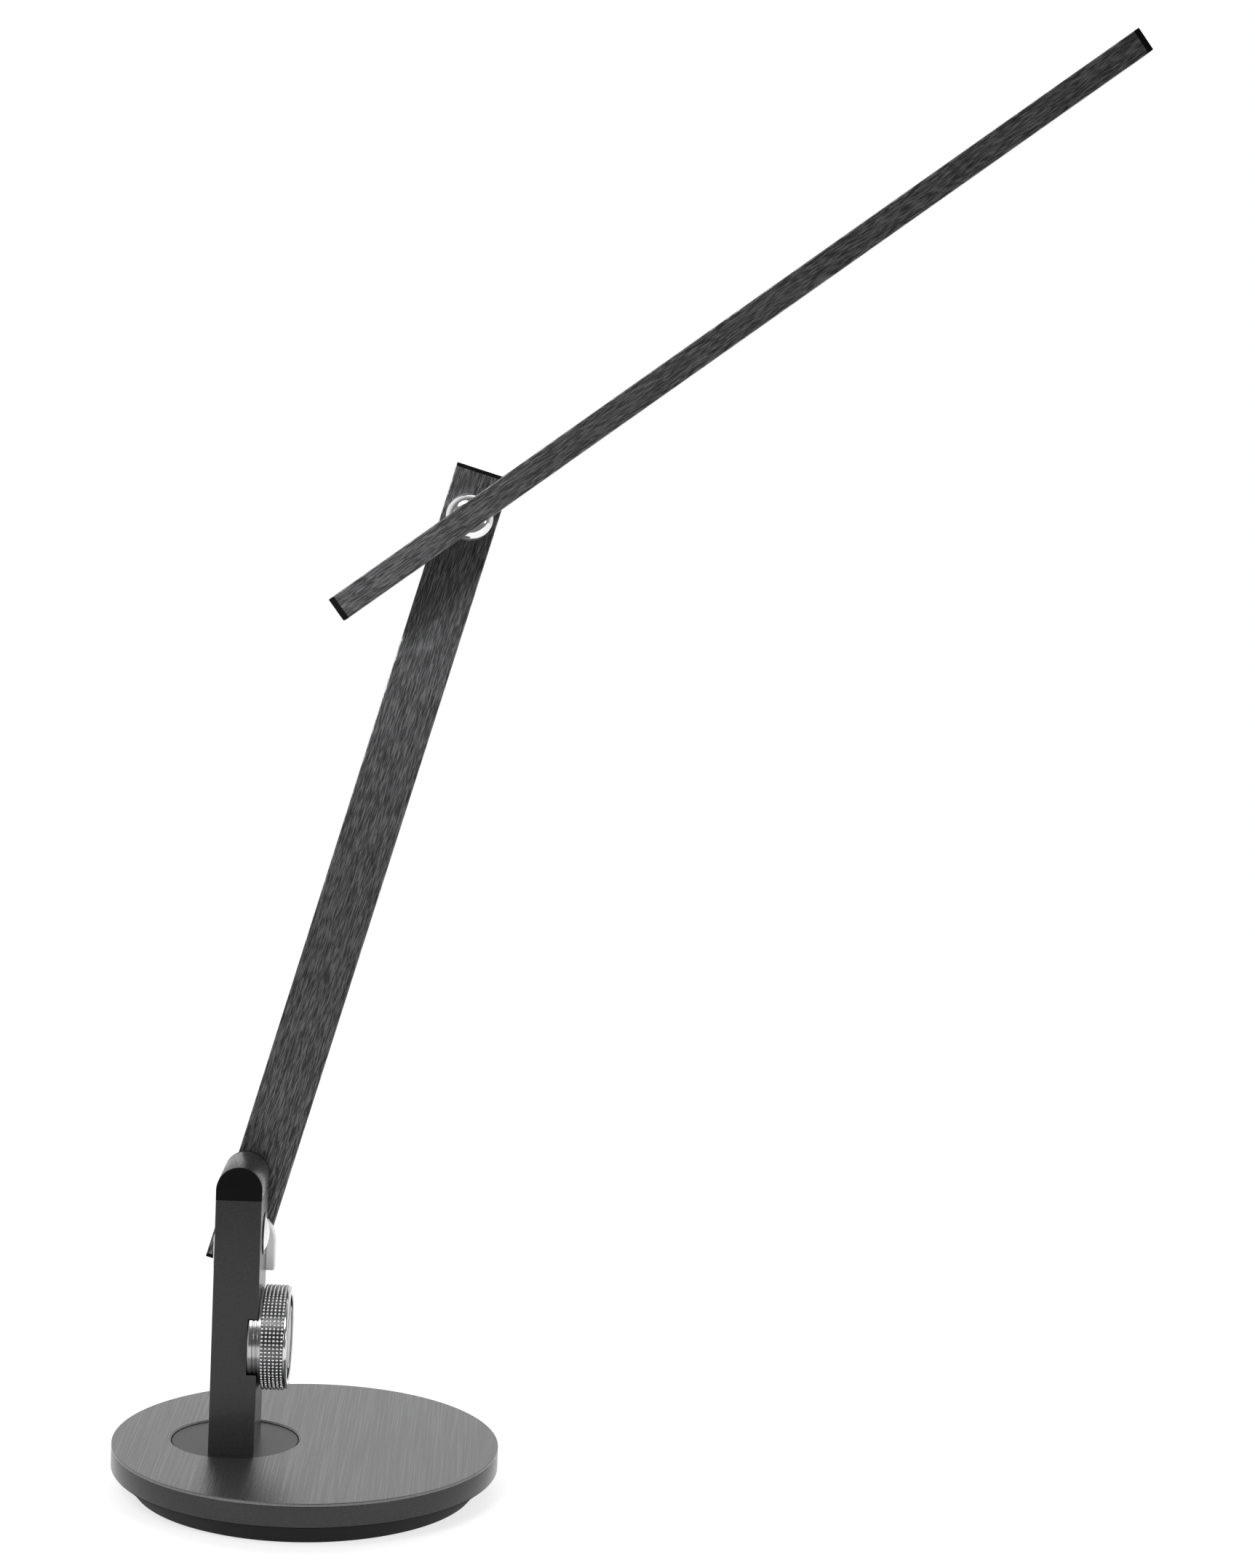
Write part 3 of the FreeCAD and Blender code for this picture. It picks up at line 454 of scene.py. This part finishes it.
def arch_corners(x, y, bottom, centre_z, radius):
    """Straight sides under a half-round crown."""
    corners = [Vector((x - radius, y, bottom)), Vector((x + radius, y, bottom))]
    for step in range(ARCH_STEPS + 1):
        angle = math.pi * step / ARCH_STEPS
        corners.append(Vector((x + radius * math.cos(angle), y, centre_z + radius * math.sin(angle))))
    return corners


def join(name, pieces):
    deselect()
    for piece in pieces:
        piece.select_set(True)
    bpy.context.view_layer.objects.active = pieces[0]
    bpy.ops.object.join()
    pieces[0].name = name
    return pieces[0]


def finish_piece(piece, body, material, slot, *stands_for):
    piece.data.materials.clear()
    piece.data.materials.append(material)
    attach(piece, body)
    if stands_for:
        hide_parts(*stands_for)
    return piece


def coat(material, *names):
    """Give CAD nodes a better material."""
    for name in names:
        mesh = nodes[name].data
        mesh.materials.clear()
        mesh.materials.append(material)


# ---------------------------------------------------------------- pieces

class Builder:
    """The user's sizes and colours, as each operator of the lamp reads them."""
    bl_options = {"REGISTER", "UNDO"}

    @property
    def sizes(self):
        return bpy.context.scene.lamp_sizes

    @property
    def colours(self):
        return bpy.context.scene.lamp_colours


class LAMP_OT_base(Builder, bpy.types.Operator):
    """Build the weighted round base: top plate, painted rim, tray and pad"""
    bl_idname = "lamp.base"
    bl_label = "Base"

    def execute(self, context):
        sizes, colours = self.sizes, self.colours
        top_metal = brushed_finish("brushed_top", times(colours.brushed, 0.95), (2600.0, 9.0, 400.0),
                                   contrast=0.10, roughness=0.27)
        paint = paint_finish("rim_paint", times(colours.paint, 1.25), 0.25)
        plastic = plastic_finish("tray_plastic", colours.plastic, 0.6, gloss=0.07)
        rubber = plastic_finish("pad_rubber", (0.02, 0.02, 0.02), 0.7, 700.0)
        coat(top_metal, "base_top_plate")
        coat(paint_finish("disc_paint", times(colours.paint, 0.95), 0.34), "swivel_disc")
        coat(rubber, "base_pad")

        low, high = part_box("base_rim")
        tray_low, tray_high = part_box("base_tray")
        radius = high.x
        knee_radius, knee = radius - sizes.undercut_width, low.z - sizes.undercut_height
        inner = radius - sizes.rim_wall
        seam, flange, flange_edge, flange_root = 0.0001, 0.01, 0.004, 0.006
        rim = lathe("painted_rim", [
            (radius, low.z + seam), (radius, high.z), (inner - flange, high.z),
            (inner - flange, high.z - flange_edge), (inner, high.z - flange_root), (inner, low.z + seam),
        ], Vector((0, 0, 0)), (0, 0, 1), ROUND_STEPS)
        self.cut_window(rim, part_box("inlet_socket"))
        soften(rim, 0.6 * sizes.edge_round, 3, 20.0)
        smooth(rim, 25.0)
        finish_piece(rim, "base", paint, "painted_dark", "base_rim")

        foot = knee_radius - sizes.tray_taper
        shell, floor_inset, disc_inset = 0.0028, 0.03, 0.0299
        tray = lathe("bottom_tray", [
            (foot - floor_inset, tray_low.z), (foot, tray_low.z), (knee_radius, knee),
            (radius - 0.0004, low.z - 0.0003),
            (radius - 0.0006, low.z), (inner, low.z), (knee_radius - sizes.rim_wall, knee),
            (foot - sizes.rim_wall, tray_low.z + shell), (foot - floor_inset, tray_low.z + shell),
        ], Vector((0, 0, 0)), (0, 0, 1), ROUND_STEPS)
        floor_disc = lathe("tray_floor", [
            (0.0, tray_low.z), (foot - disc_inset, tray_low.z), (foot - disc_inset, tray_low.z + shell),
            (0.0, tray_low.z + shell),
        ], Vector((0, 0, 0)), (0, 0, 1), ROUND_STEPS, False)
        soften(tray, sizes.edge_round, 2, 20.0)
        tray = join("bottom_tray", [tray, floor_disc])
        smooth(tray, 25.0)
        finish_piece(tray, "base", plastic, "black_plastic", "base_tray")
        return {"FINISHED"}

    def cut_window(self, rim, socket_box):
        """Open the rim for the power inlet."""
        low, high = socket_box
        bpy.ops.mesh.primitive_cube_add(size=1.0, location=(low + high) / 2)
        cutter = bpy.context.object
        overshoot = 0.03
        cutter.scale = (high.x - low.x, high.y - low.y + overshoot, high.z - low.z)
        apply_modifier(rim, "BOOLEAN", operation="DIFFERENCE", object=cutter, solver="EXACT")
        bpy.data.objects.remove(cutter)


class LAMP_OT_post(Builder, bpy.types.Operator):
    """Finish the post: casing, half-round barrel, black end caps and pivot bracket"""
    bl_idname = "lamp.post"
    bl_label = "Post"

    def execute(self, context):
        sizes, colours = self.sizes, self.colours
        coat(paint_finish("post_paint", colours.paint, coat_weight=0.2), "post_casing")
        barrel_metal = brushed_finish("barrel_metal", times(colours.brushed, 0.6), (1500.0, 60.0, 1500.0),
                                      contrast=0.2, roughness=0.3)
        plastic = plastic_finish("cap_plastic", times(colours.plastic, 0.7), 0.5, gloss=0.05)
        satin = satin_finish("satin_metal", (0.94, 0.94, 0.94))

        low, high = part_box("arch_barrel")
        x, radius = (low.x + high.x) / 2, (high.x - low.x) / 2
        centre_z = high.z - radius
        front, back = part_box("arch_front_cap")[0].y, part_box("arch_rear_cap")[1].y
        seam = 0.00012
        for name, start, end, material, slot in (
                ("arch_barrel", low.y, high.y, barrel_metal, "barrel_metal"),
                ("arch_front_cap", front, low.y - seam, plastic, "black_plastic"),
                ("arch_rear_cap", high.y + seam, back, plastic, "black_plastic")):
            piece = extruded(name + "_detail", arch_corners(x, start, low.z + seam, centre_z, radius),
                             end - start)
            soften(piece, 0.00025, 2, 30.0)
            smooth(piece, 28.0)
            finish_piece(piece, "post", material, slot, name)

        low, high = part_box("pivot_bracket")
        radius = (high.x - low.x) / 2
        bracket = extruded("pivot_bracket_detail",
                           arch_corners((low.x + high.x) / 2, low.y, low.z, high.z - radius, radius),
                           high.y - low.y)
        soften(bracket, sizes.bracket_bevel, 3, 40.0)
        smooth(bracket, 25.0)
        finish_piece(bracket, "post", satin, "satin_chrome", "pivot_bracket")
        return {"FINISHED"}


class LAMP_OT_knob(Builder, bpy.types.Operator):
    """Build the dimmer knob with its dotted grip, bezel, dark face and ringed hub; the grip, face and hub
    take darker copies of the chrome colour, painted shade
    """
    bl_idname = "lamp.knob"
    bl_label = "Dimmer knob"

    def execute(self, context):
        sizes, colours = self.sizes, self.colours
        chrome = chrome_finish("knob_chrome", times(colours.chrome, 0.8), 0.10)
        # The chrome colour at 0.16 is a darker copy of the knob chrome: painted shade on the grip between
        # the dots and on the centre face.
        shaded_chrome = chrome_finish("knob_shaded_chrome", times(colours.chrome, 0.16), 0.20)
        plastic = plastic_finish("knob_face_plastic", times(colours.plastic, 1.3), 0.35)
        low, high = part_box("knob_ring")
        centre = Vector((0.0, (low.y + high.y) / 2, (low.z + high.z) / 2))
        radius = (high.z - low.z) / 2
        along = (1, 0, 0)

        wall = radius - sizes.dot_height
        inner = (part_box("knob_core")[1].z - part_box("knob_core")[0].z) / 2
        lip = 0.0006
        grip = lathe("knob_grip", [
            (inner, low.x), (wall - lip, low.x), (wall, low.x + lip), (wall, high.x - lip),
            (wall - lip, high.x), (inner, high.x),
        ], centre, along, ROUND_STEPS)
        smooth(grip, 24.0)
        finish_piece(grip, "knob", shaded_chrome, "chrome", "knob_ring")
        dots = self.dots(centre, wall, low.x, high.x)
        smooth(dots, 60.0)
        finish_piece(dots, "knob", chrome, "chrome")

        low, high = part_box("knob_bezel")
        bezel_radius = (high.z - low.z) / 2
        ring_width = 0.0046
        throat = bezel_radius - ring_width
        bezel = lathe("knob_bezel_detail", [
            (inner, low.x), (bezel_radius, low.x), (bezel_radius, high.x - 0.0006),
            (bezel_radius - 0.0006, high.x), (throat + 0.0012, high.x), (throat, high.x - 0.0009),
            (throat, low.x + 0.0008), (inner, low.x + 0.0008),
        ], centre, along, ROUND_STEPS)
        soften(bezel, 0.0002, 2, 20.0)
        smooth(bezel, 30.0)
        finish_piece(bezel, "knob", chrome, "chrome", "knob_bezel")
        liner = lathe("knob_liner", [
            (throat - 0.0005, low.x + 0.0008), (throat, low.x + 0.0008), (throat, high.x - 0.0005),
            (throat - 0.0005, high.x - 0.0005),
        ], centre, along, ROUND_STEPS)
        smooth(liner, 30.0)
        finish_piece(liner, "knob", plastic, "black_plastic")

        low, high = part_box("knob_hub")
        hub_radius = (high.z - low.z) / 2
        groove = sizes.groove_depth
        shaft_hole, corner = 0.003, 0.0005
        outline = [(shaft_hole, low.x), (hub_radius - corner, low.x), (hub_radius, low.x + corner)]
        for share in (0.32, 0.62):
            spot = low.x + share * (high.x - low.x)
            outline += [(hub_radius, spot), (hub_radius - groove, spot + 0.0003),
                        (hub_radius - groove, spot + 0.0008), (hub_radius, spot + 0.0011)]
        outline += [(hub_radius, high.x), (shaft_hole, high.x)]
        hub = lathe("knob_hub_detail", outline, centre, along, ROUND_STEPS)
        smooth(hub, 30.0)
        # The hub chrome is a darker copy at 0.55 of the chrome colour: painted shade.
        shaded_hub_chrome = chrome_finish("shaded_hub_chrome", times(colours.chrome, 0.55), 0.14)
        finish_piece(hub, "knob", shaded_hub_chrome, "chrome", "knob_hub")

        low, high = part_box("knob_centre")
        face_radius = (high.z - low.z) / 2
        disc = lathe("knob_centre_detail", [
            (0.0, low.x), (face_radius, low.x), (face_radius, high.x - 0.0004),
            (face_radius - 0.0004, high.x),
            (face_radius - 0.002, high.x), (face_radius - 0.0024, high.x - 0.0003), (0.0, high.x - 0.0003),
        ], centre, along, ROUND_STEPS, False)
        smooth(disc, 30.0)
        finish_piece(disc, "knob", shaded_chrome, "chrome", "knob_centre")
        coat(plastic, "knob_core")
        coat(machined_finish("shaft_steel", (0.5, 0.5, 0.51)), "knob_shaft")
        return {"FINISHED"}

    def dots(self, centre, wall, start, end):
        """Rings of blunt cones standing on the grip, in line along the knob."""
        sizes = self.sizes
        pitch, rise = sizes.dot_pitch, sizes.dot_height
        round_count = int(FULL_TURN * wall / pitch)
        sink = 0.0001
        dot = lathe("knob_dots", [(0.38 * pitch, wall - sink), (0.37 * pitch, wall + 0.35 * rise),
                                  (0.27 * pitch, wall + 0.8 * rise), (0.0, wall + rise)],
                    Vector((0, 0, 0)), (0, 0, 1), 8, False)
        stock = bmesh.new()
        first = (start + end) / 2 - (sizes.dot_rows - 1) * pitch / 2
        for row in range(sizes.dot_rows):
            for step in range(round_count):
                copy = dot.data.copy()
                turn = Matrix.Rotation(FULL_TURN * step / round_count, 4, "X")
                place = Matrix.Translation(Vector((first + row * pitch, centre.y, centre.z)))
                copy.transform(place @ turn)
                stock.from_mesh(copy)
                bpy.data.meshes.remove(copy)
        stock.to_mesh(dot.data)
        stock.free()
        return dot


class LAMP_OT_button(Builder, bpy.types.Operator):
    """Build the domed power button and its bezel"""
    bl_idname = "lamp.button"
    bl_label = "Power button"

    def execute(self, context):
        sizes, colours = self.sizes, self.colours
        chrome = chrome_finish("button_chrome", colours.chrome, 0.05)
        along = (1, 0, 0)
        low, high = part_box("button_cap")
        centre = Vector((0.0, (low.y + high.y) / 2, (low.z + high.z) / 2))
        radius = (high.z - low.z) / 2
        shoulder = high.x - sizes.button_dome
        cap = lathe("button_dome", [(0.0, low.x), (radius, low.x)]
                    + dome_outline(radius, sizes.button_dome, shoulder), centre, along, SMALL_STEPS, False)
        smooth(cap, 35.0)
        finish_piece(cap, "button", chrome, "chrome", "button_cap")

        low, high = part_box("button_bezel")
        lip_radius = (high.z - low.z) / 2
        running_gap, sleeve_wall = 0.0001, 0.0009
        bore = radius + running_gap
        sleeve = bore + sleeve_wall
        face = nodes_face("post_casing")
        bezel = lathe("button_bezel_detail", [
            (bore, low.x), (sleeve, low.x), (sleeve, face), (lip_radius, face),
            (lip_radius, high.x - 0.0003), (lip_radius - 0.0004, high.x), (bore + 0.0004, high.x),
            (bore, high.x - 0.0003),
        ], centre, along, SMALL_STEPS)
        smooth(bezel, 35.0)
        # The bezel takes the chrome colour at 0.1, a darker copy of the button's chrome: painted shade.
        shaded_chrome = chrome_finish("button_shaded_chrome", times(colours.chrome, 0.1), 0.15)
        finish_piece(bezel, "post", shaded_chrome, "chrome", "button_bezel")
        return {"FINISHED"}


def nodes_face(name):
    """The right-hand face of a node."""
    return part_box(name)[1].x


class LAMP_OT_pivots(Builder, bpy.types.Operator):
    """Build the chrome dome between arm and light bar and the domed nuts behind"""
    bl_idname = "lamp.pivots"
    bl_label = "Pivots"

    def execute(self, context):
        colours = self.colours
        chrome = chrome_finish("pivot_chrome", colours.chrome, 0.06)
        along = (0, 1, 0)
        upper = joint_spot("light_bar_tilt")
        centre = Vector((upper.x, 0.0, upper.z))
        low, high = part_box("upper_pivot_dome")
        radius = (high.z - low.z) / 2
        hole = 0.00295
        edge = 0.007
        chamfer = 0.0004
        outline = [(hole, high.y), (radius - chamfer, high.y), (radius, high.y - chamfer)]
        for step in range(ARCH_STEPS // 3 + 1):
            angle = 1.5 * math.pi * step / ARCH_STEPS
            outline.append((radius - edge + edge * math.cos(angle), low.y + edge - edge * math.sin(angle)))
        outline.append((hole, low.y))
        dome = lathe("upper_dome_detail", outline, centre, along, ROUND_STEPS)
        smooth(dome, 35.0)
        finish_piece(dome, "lower_arm", chrome, "chrome", "upper_pivot_dome")

        low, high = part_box("upper_pivot_bolt")
        arm_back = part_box("lower_arm_tube")[1].y
        head_radius = (high.z - low.z) / 2
        self.domed("upper_bolt_detail", centre, hole, low.y, arm_back, head_radius, high.y, chrome,
                   "lower_arm", "upper_pivot_bolt")
        lower = joint_spot("lower_arm_tilt")
        low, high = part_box("lower_pivot_nut")
        nut_radius = (high.z - low.z) / 2
        self.domed("lower_nut_detail", Vector((lower.x, 0.0, lower.z)), 0.003, low.y - 0.0001, low.y,
                   nut_radius,
                   high.y, chrome, "post", "lower_pivot_nut")
        return {"FINISHED"}

    def domed(self, name, centre, shank, start, seat, radius, end, material, body, node):
        """A shank with a low domed head at its rear."""
        corner, dome_share = 0.0003, 0.72
        dome = dome_outline(radius - corner, (end - seat) * dome_share, end - (end - seat) * dome_share)
        outline = [(0.0, start), (shank, start), (shank, seat), (radius, seat),
                   (radius, dome[0][1] - corner)] + dome
        piece = lathe(name, outline, centre, (0, 1, 0), SMALL_STEPS, False)
        smooth(piece, 35.0)
        finish_piece(piece, body, material, "chrome", node)


class LAMP_OT_arms(Builder, bpy.types.Operator):
    """Finish the lower arm and the light bar with brushing along each bar, black caps and an opal window"""
    bl_idname = "lamp.arms"
    bl_label = "Arms"

    def execute(self, context):
        colours = self.colours
        grain = (115.0, 2200.0, 2200.0)
        metal = times(colours.brushed, 0.75)
        # Contrast 0.72 paints the scratches far lighter than the metal: partly brushed tone, partly a
        # painted glint.
        arm_metal = brushed_finish("arm_brushed", metal, grain, (0.0, ARM_SLOPE, 0.0),
                                   contrast=0.72, roughness=0.34, metal=0.8)
        head_metal = brushed_finish("head_brushed", metal, grain, (0.0, HEAD_SLOPE, 0.0),
                                    contrast=0.72, roughness=0.34, metal=0.8)
        coat(arm_metal, "lower_arm_tube")
        coat(head_metal, "head_profile")
        plastic = plastic_finish("end_cap_plastic", times(colours.plastic, 0.7), 0.5, gloss=0.03)
        coat(plastic, "arm_bottom_cap", "arm_top_cap", "head_tail_cap", "head_tip_cap")
        coat(opal_finish("opal_window", colours.opal), "diffuser")
        return {"FINISHED"}


class LAMP_OT_inner_parts(Builder, bpy.types.Operator):
    """Finish what is inside the lamp: weight, swivel, fasteners, boards and leads"""
    bl_idname = "lamp.inner_parts"
    bl_label = "Inner parts"

    def execute(self, context):
        steel = machined_finish("zinc_steel", (0.55, 0.55, 0.56))
        coat(steel, "base_screws", "swivel_cup", "swivel_stud", "swivel_nut", "swivel_spring_washer",
             "post_screws", "pivot_block", "lower_pivot_bolt", "counterweight", "arm_spacers", "head_spacer",
             "upper_pivot_nut")
        coat(machined_finish("bronze", (0.60, 0.42, 0.20), 0.32), "swivel_bush", "inlet_pin")
        coat(cast_finish("cast_iron", (0.12, 0.12, 0.12)), "base_weight")
        coat(plastic_finish("fibre", (0.35, 0.26, 0.17), 0.8, 900.0), "lower_friction_washers",
             "upper_friction_washer")
        coat(plastic_finish("nylon", (0.75, 0.75, 0.72), 0.4, 1200.0, 0.05), "swivel_washer")
        black = plastic_finish("inner_plastic", (0.02, 0.02, 0.02), 0.5)
        coat(black, "dimmer_body", "switch_body", "button_stem", "inlet_socket")
        coat(plastic_finish("lead_sheath", (0.02, 0.02, 0.02), 0.55, 500.0), "arm_lead")
        coat(board_finish("green_board", (0.03, 0.16, 0.07), (0.08, 0.30, 0.12)), "control_board")
        coat(board_finish("white_board", (0.85, 0.85, 0.83), (0.75, 0.75, 0.72)), "led_board")
        coat(plastic_finish("phosphor", (0.90, 0.72, 0.18), 0.3, 2500.0, 0.08), "led_chips")
        return {"FINISHED"}


# ---------------------------------------------------------------- studio

SKY_IN_FRONT = 0.18
SKY_BEHIND = 0.95
FLOOR_GLOW = 0.70
# Name, place, point aimed at, width, power in watts, and spread of the beam in degrees.
LAMPS = (
    ("near_softbox", (-0.36, -0.40, 0.60), (0.03, 0.02, 0.49), 0.14, 0.15, 38.0),
    ("side_softbox", (-1.10, -1.20, 0.42), (0.0, 0.0, 0.05), 0.40, 5.0, 180.0),
    ("right_softbox", (1.05, -0.95, 0.40), (0.0, 0.0, 0.12), 0.40, 0.8, 60.0),
    ("far_softbox", (-0.7, -1.7, 1.9), (0.1, 0.0, 0.3), 1.0, 20.0, 180.0),
    ("top_softbox", (0.2, 0.9, 2.2), (0.0, 0.0, 0.2), 1.4, 4.0, 180.0),
)


class LAMP_OT_stage(bpy.types.Operator):
    """Lay the floor, hang the lamps and set the camera where the photograph was taken from"""
    bl_idname = "lamp.stage"
    bl_label = "Studio"
    bl_options = {"REGISTER", "UNDO"}

    def execute(self, context):
        self.lay_floor(context)
        self.light_world(context)
        for name, place, aim, size, power, spread in LAMPS:
            self.hang_lamp(name, place, aim, size, power, spread)
        self.set_camera(context)
        view = context.scene.view_settings
        view.view_transform = "Standard"
        return {"FINISHED"}

    def lay_floor(self, context):
        deselect()
        bpy.ops.mesh.primitive_plane_add(size=1.0, location=(0, 1.1, 0))
        floor = context.object
        floor.name = "studio_floor"
        floor.scale = (4.0, 3.4, 1.0)
        finish = Finish("pale_floor")
        colour = tuple(context.scene.lamp_colours.floor) + (1.0,)
        matt = finish.node("ShaderNodeBsdfDiffuse", {}, {"Color": colour})
        seen = finish.node("ShaderNodeLightPath", output="Is Camera Ray")
        mirrored = finish.node("ShaderNodeLightPath", output="Is Glossy Ray")
        through = finish.node("ShaderNodeLightPath", output="Is Transmission Ray")
        glow = finish.node("ShaderNodeEmission", {}, {"Strength": (seen + mirrored + through) * FLOOR_GLOW})
        both = finish.node("ShaderNodeAddShader", {}, {0: matt, 1: glow})
        output = finish.tree.nodes["Material Output"]
        finish.tree.links.new(both.socket, output.inputs["Surface"])
        floor.data.materials.append(finish.material)

    def light_world(self, context):
        """White to the eye, bright behind the lamp and dim in front of it."""
        world = bpy.data.worlds.new("studio")
        context.scene.world = world
        sky = Finish("studio", world)
        direction = sky.node("ShaderNodeTexCoord", output="Generated")
        away = sky.node("ShaderNodeSeparateXYZ", {}, {0: direction}, "Y")
        depth = sky.node("ShaderNodeMapRange", {"interpolation_type": "SMOOTHSTEP"},
                         {"Value": away, "From Min": -0.45, "From Max": 0.35,
                          "To Min": SKY_IN_FRONT, "To Max": SKY_BEHIND}, "Result")
        seen = sky.node("ShaderNodeLightPath", output="Is Camera Ray")
        background = sky.tree.nodes["Background"]
        sky.feed(background.inputs["Strength"], seen.maths("MAXIMUM", seen, depth))
        sky.feed(background.inputs["Color"], grey(1.0))

    def hang_lamp(self, name, place, aim, size, power, spread):
        light = bpy.data.lights.new(name, "AREA")
        light.shape = "DISK"
        light.size = size
        light.energy = power
        light.spread = math.radians(spread)
        lamp = bpy.data.objects.new(name, light)
        bpy.context.scene.collection.objects.link(lamp)
        lamp.location = place
        lamp.rotation_mode = "QUATERNION"
        lamp.rotation_quaternion = (Vector(aim) - Vector(place)).to_track_quat("-Z", "Y")

    def set_camera(self, context):
        stage = context.scene.lamp_stage
        camera = bpy.data.objects.new("camera", bpy.data.cameras.new("camera"))
        context.scene.collection.objects.link(camera)
        level = math.cos(stage.pitch)
        ahead = Vector((math.sin(stage.yaw) * level, math.cos(stage.yaw) * level, -math.sin(stage.pitch)))
        camera.rotation_mode = "QUATERNION"
        camera.rotation_quaternion = ahead.to_track_quat("-Z", "Y") @ Quaternion((0, 0, 1), stage.roll)
        camera.location = stage.place
        camera.data.lens = stage.lens
        camera.data.clip_start, camera.data.clip_end = 0.05, 50.0
        context.scene.camera = camera


class LAMP_PT_panel(bpy.types.Panel):
    """Lists the lamp's building steps"""
    bl_idname = "LAMP_PT_panel"
    bl_label = "Desk lamp"
    bl_space_type = "VIEW_3D"
    bl_region_type = "UI"
    bl_category = "Desk lamp"

    def draw(self, context):
        for step in STEPS:
            self.layout.operator(step.bl_idname)


SETTINGS = (("lamp_sizes", LampSizes), ("lamp_colours", LampColours), ("lamp_stage", StageSettings))
STEPS = (LAMP_OT_base, LAMP_OT_post, LAMP_OT_knob, LAMP_OT_button, LAMP_OT_pivots, LAMP_OT_arms,
         LAMP_OT_inner_parts, LAMP_OT_stage)


def register():
    for name, group in SETTINGS:
        bpy.utils.register_class(group)
        setattr(bpy.types.Scene, name, PointerProperty(type=group))
    for step in STEPS:
        bpy.utils.register_class(step)
    bpy.utils.register_class(LAMP_PT_panel)


def unregister():
    bpy.utils.unregister_class(LAMP_PT_panel)
    for step in reversed(STEPS):
        bpy.utils.unregister_class(step)
    for name, group in reversed(SETTINGS):
        delattr(bpy.types.Scene, name)
        bpy.utils.unregister_class(group)


def main():
    register()
    for step in STEPS:
        family, action = step.bl_idname.split(".")
        getattr(getattr(bpy.ops, family), action)()


if __name__ == "__main__":
    main()
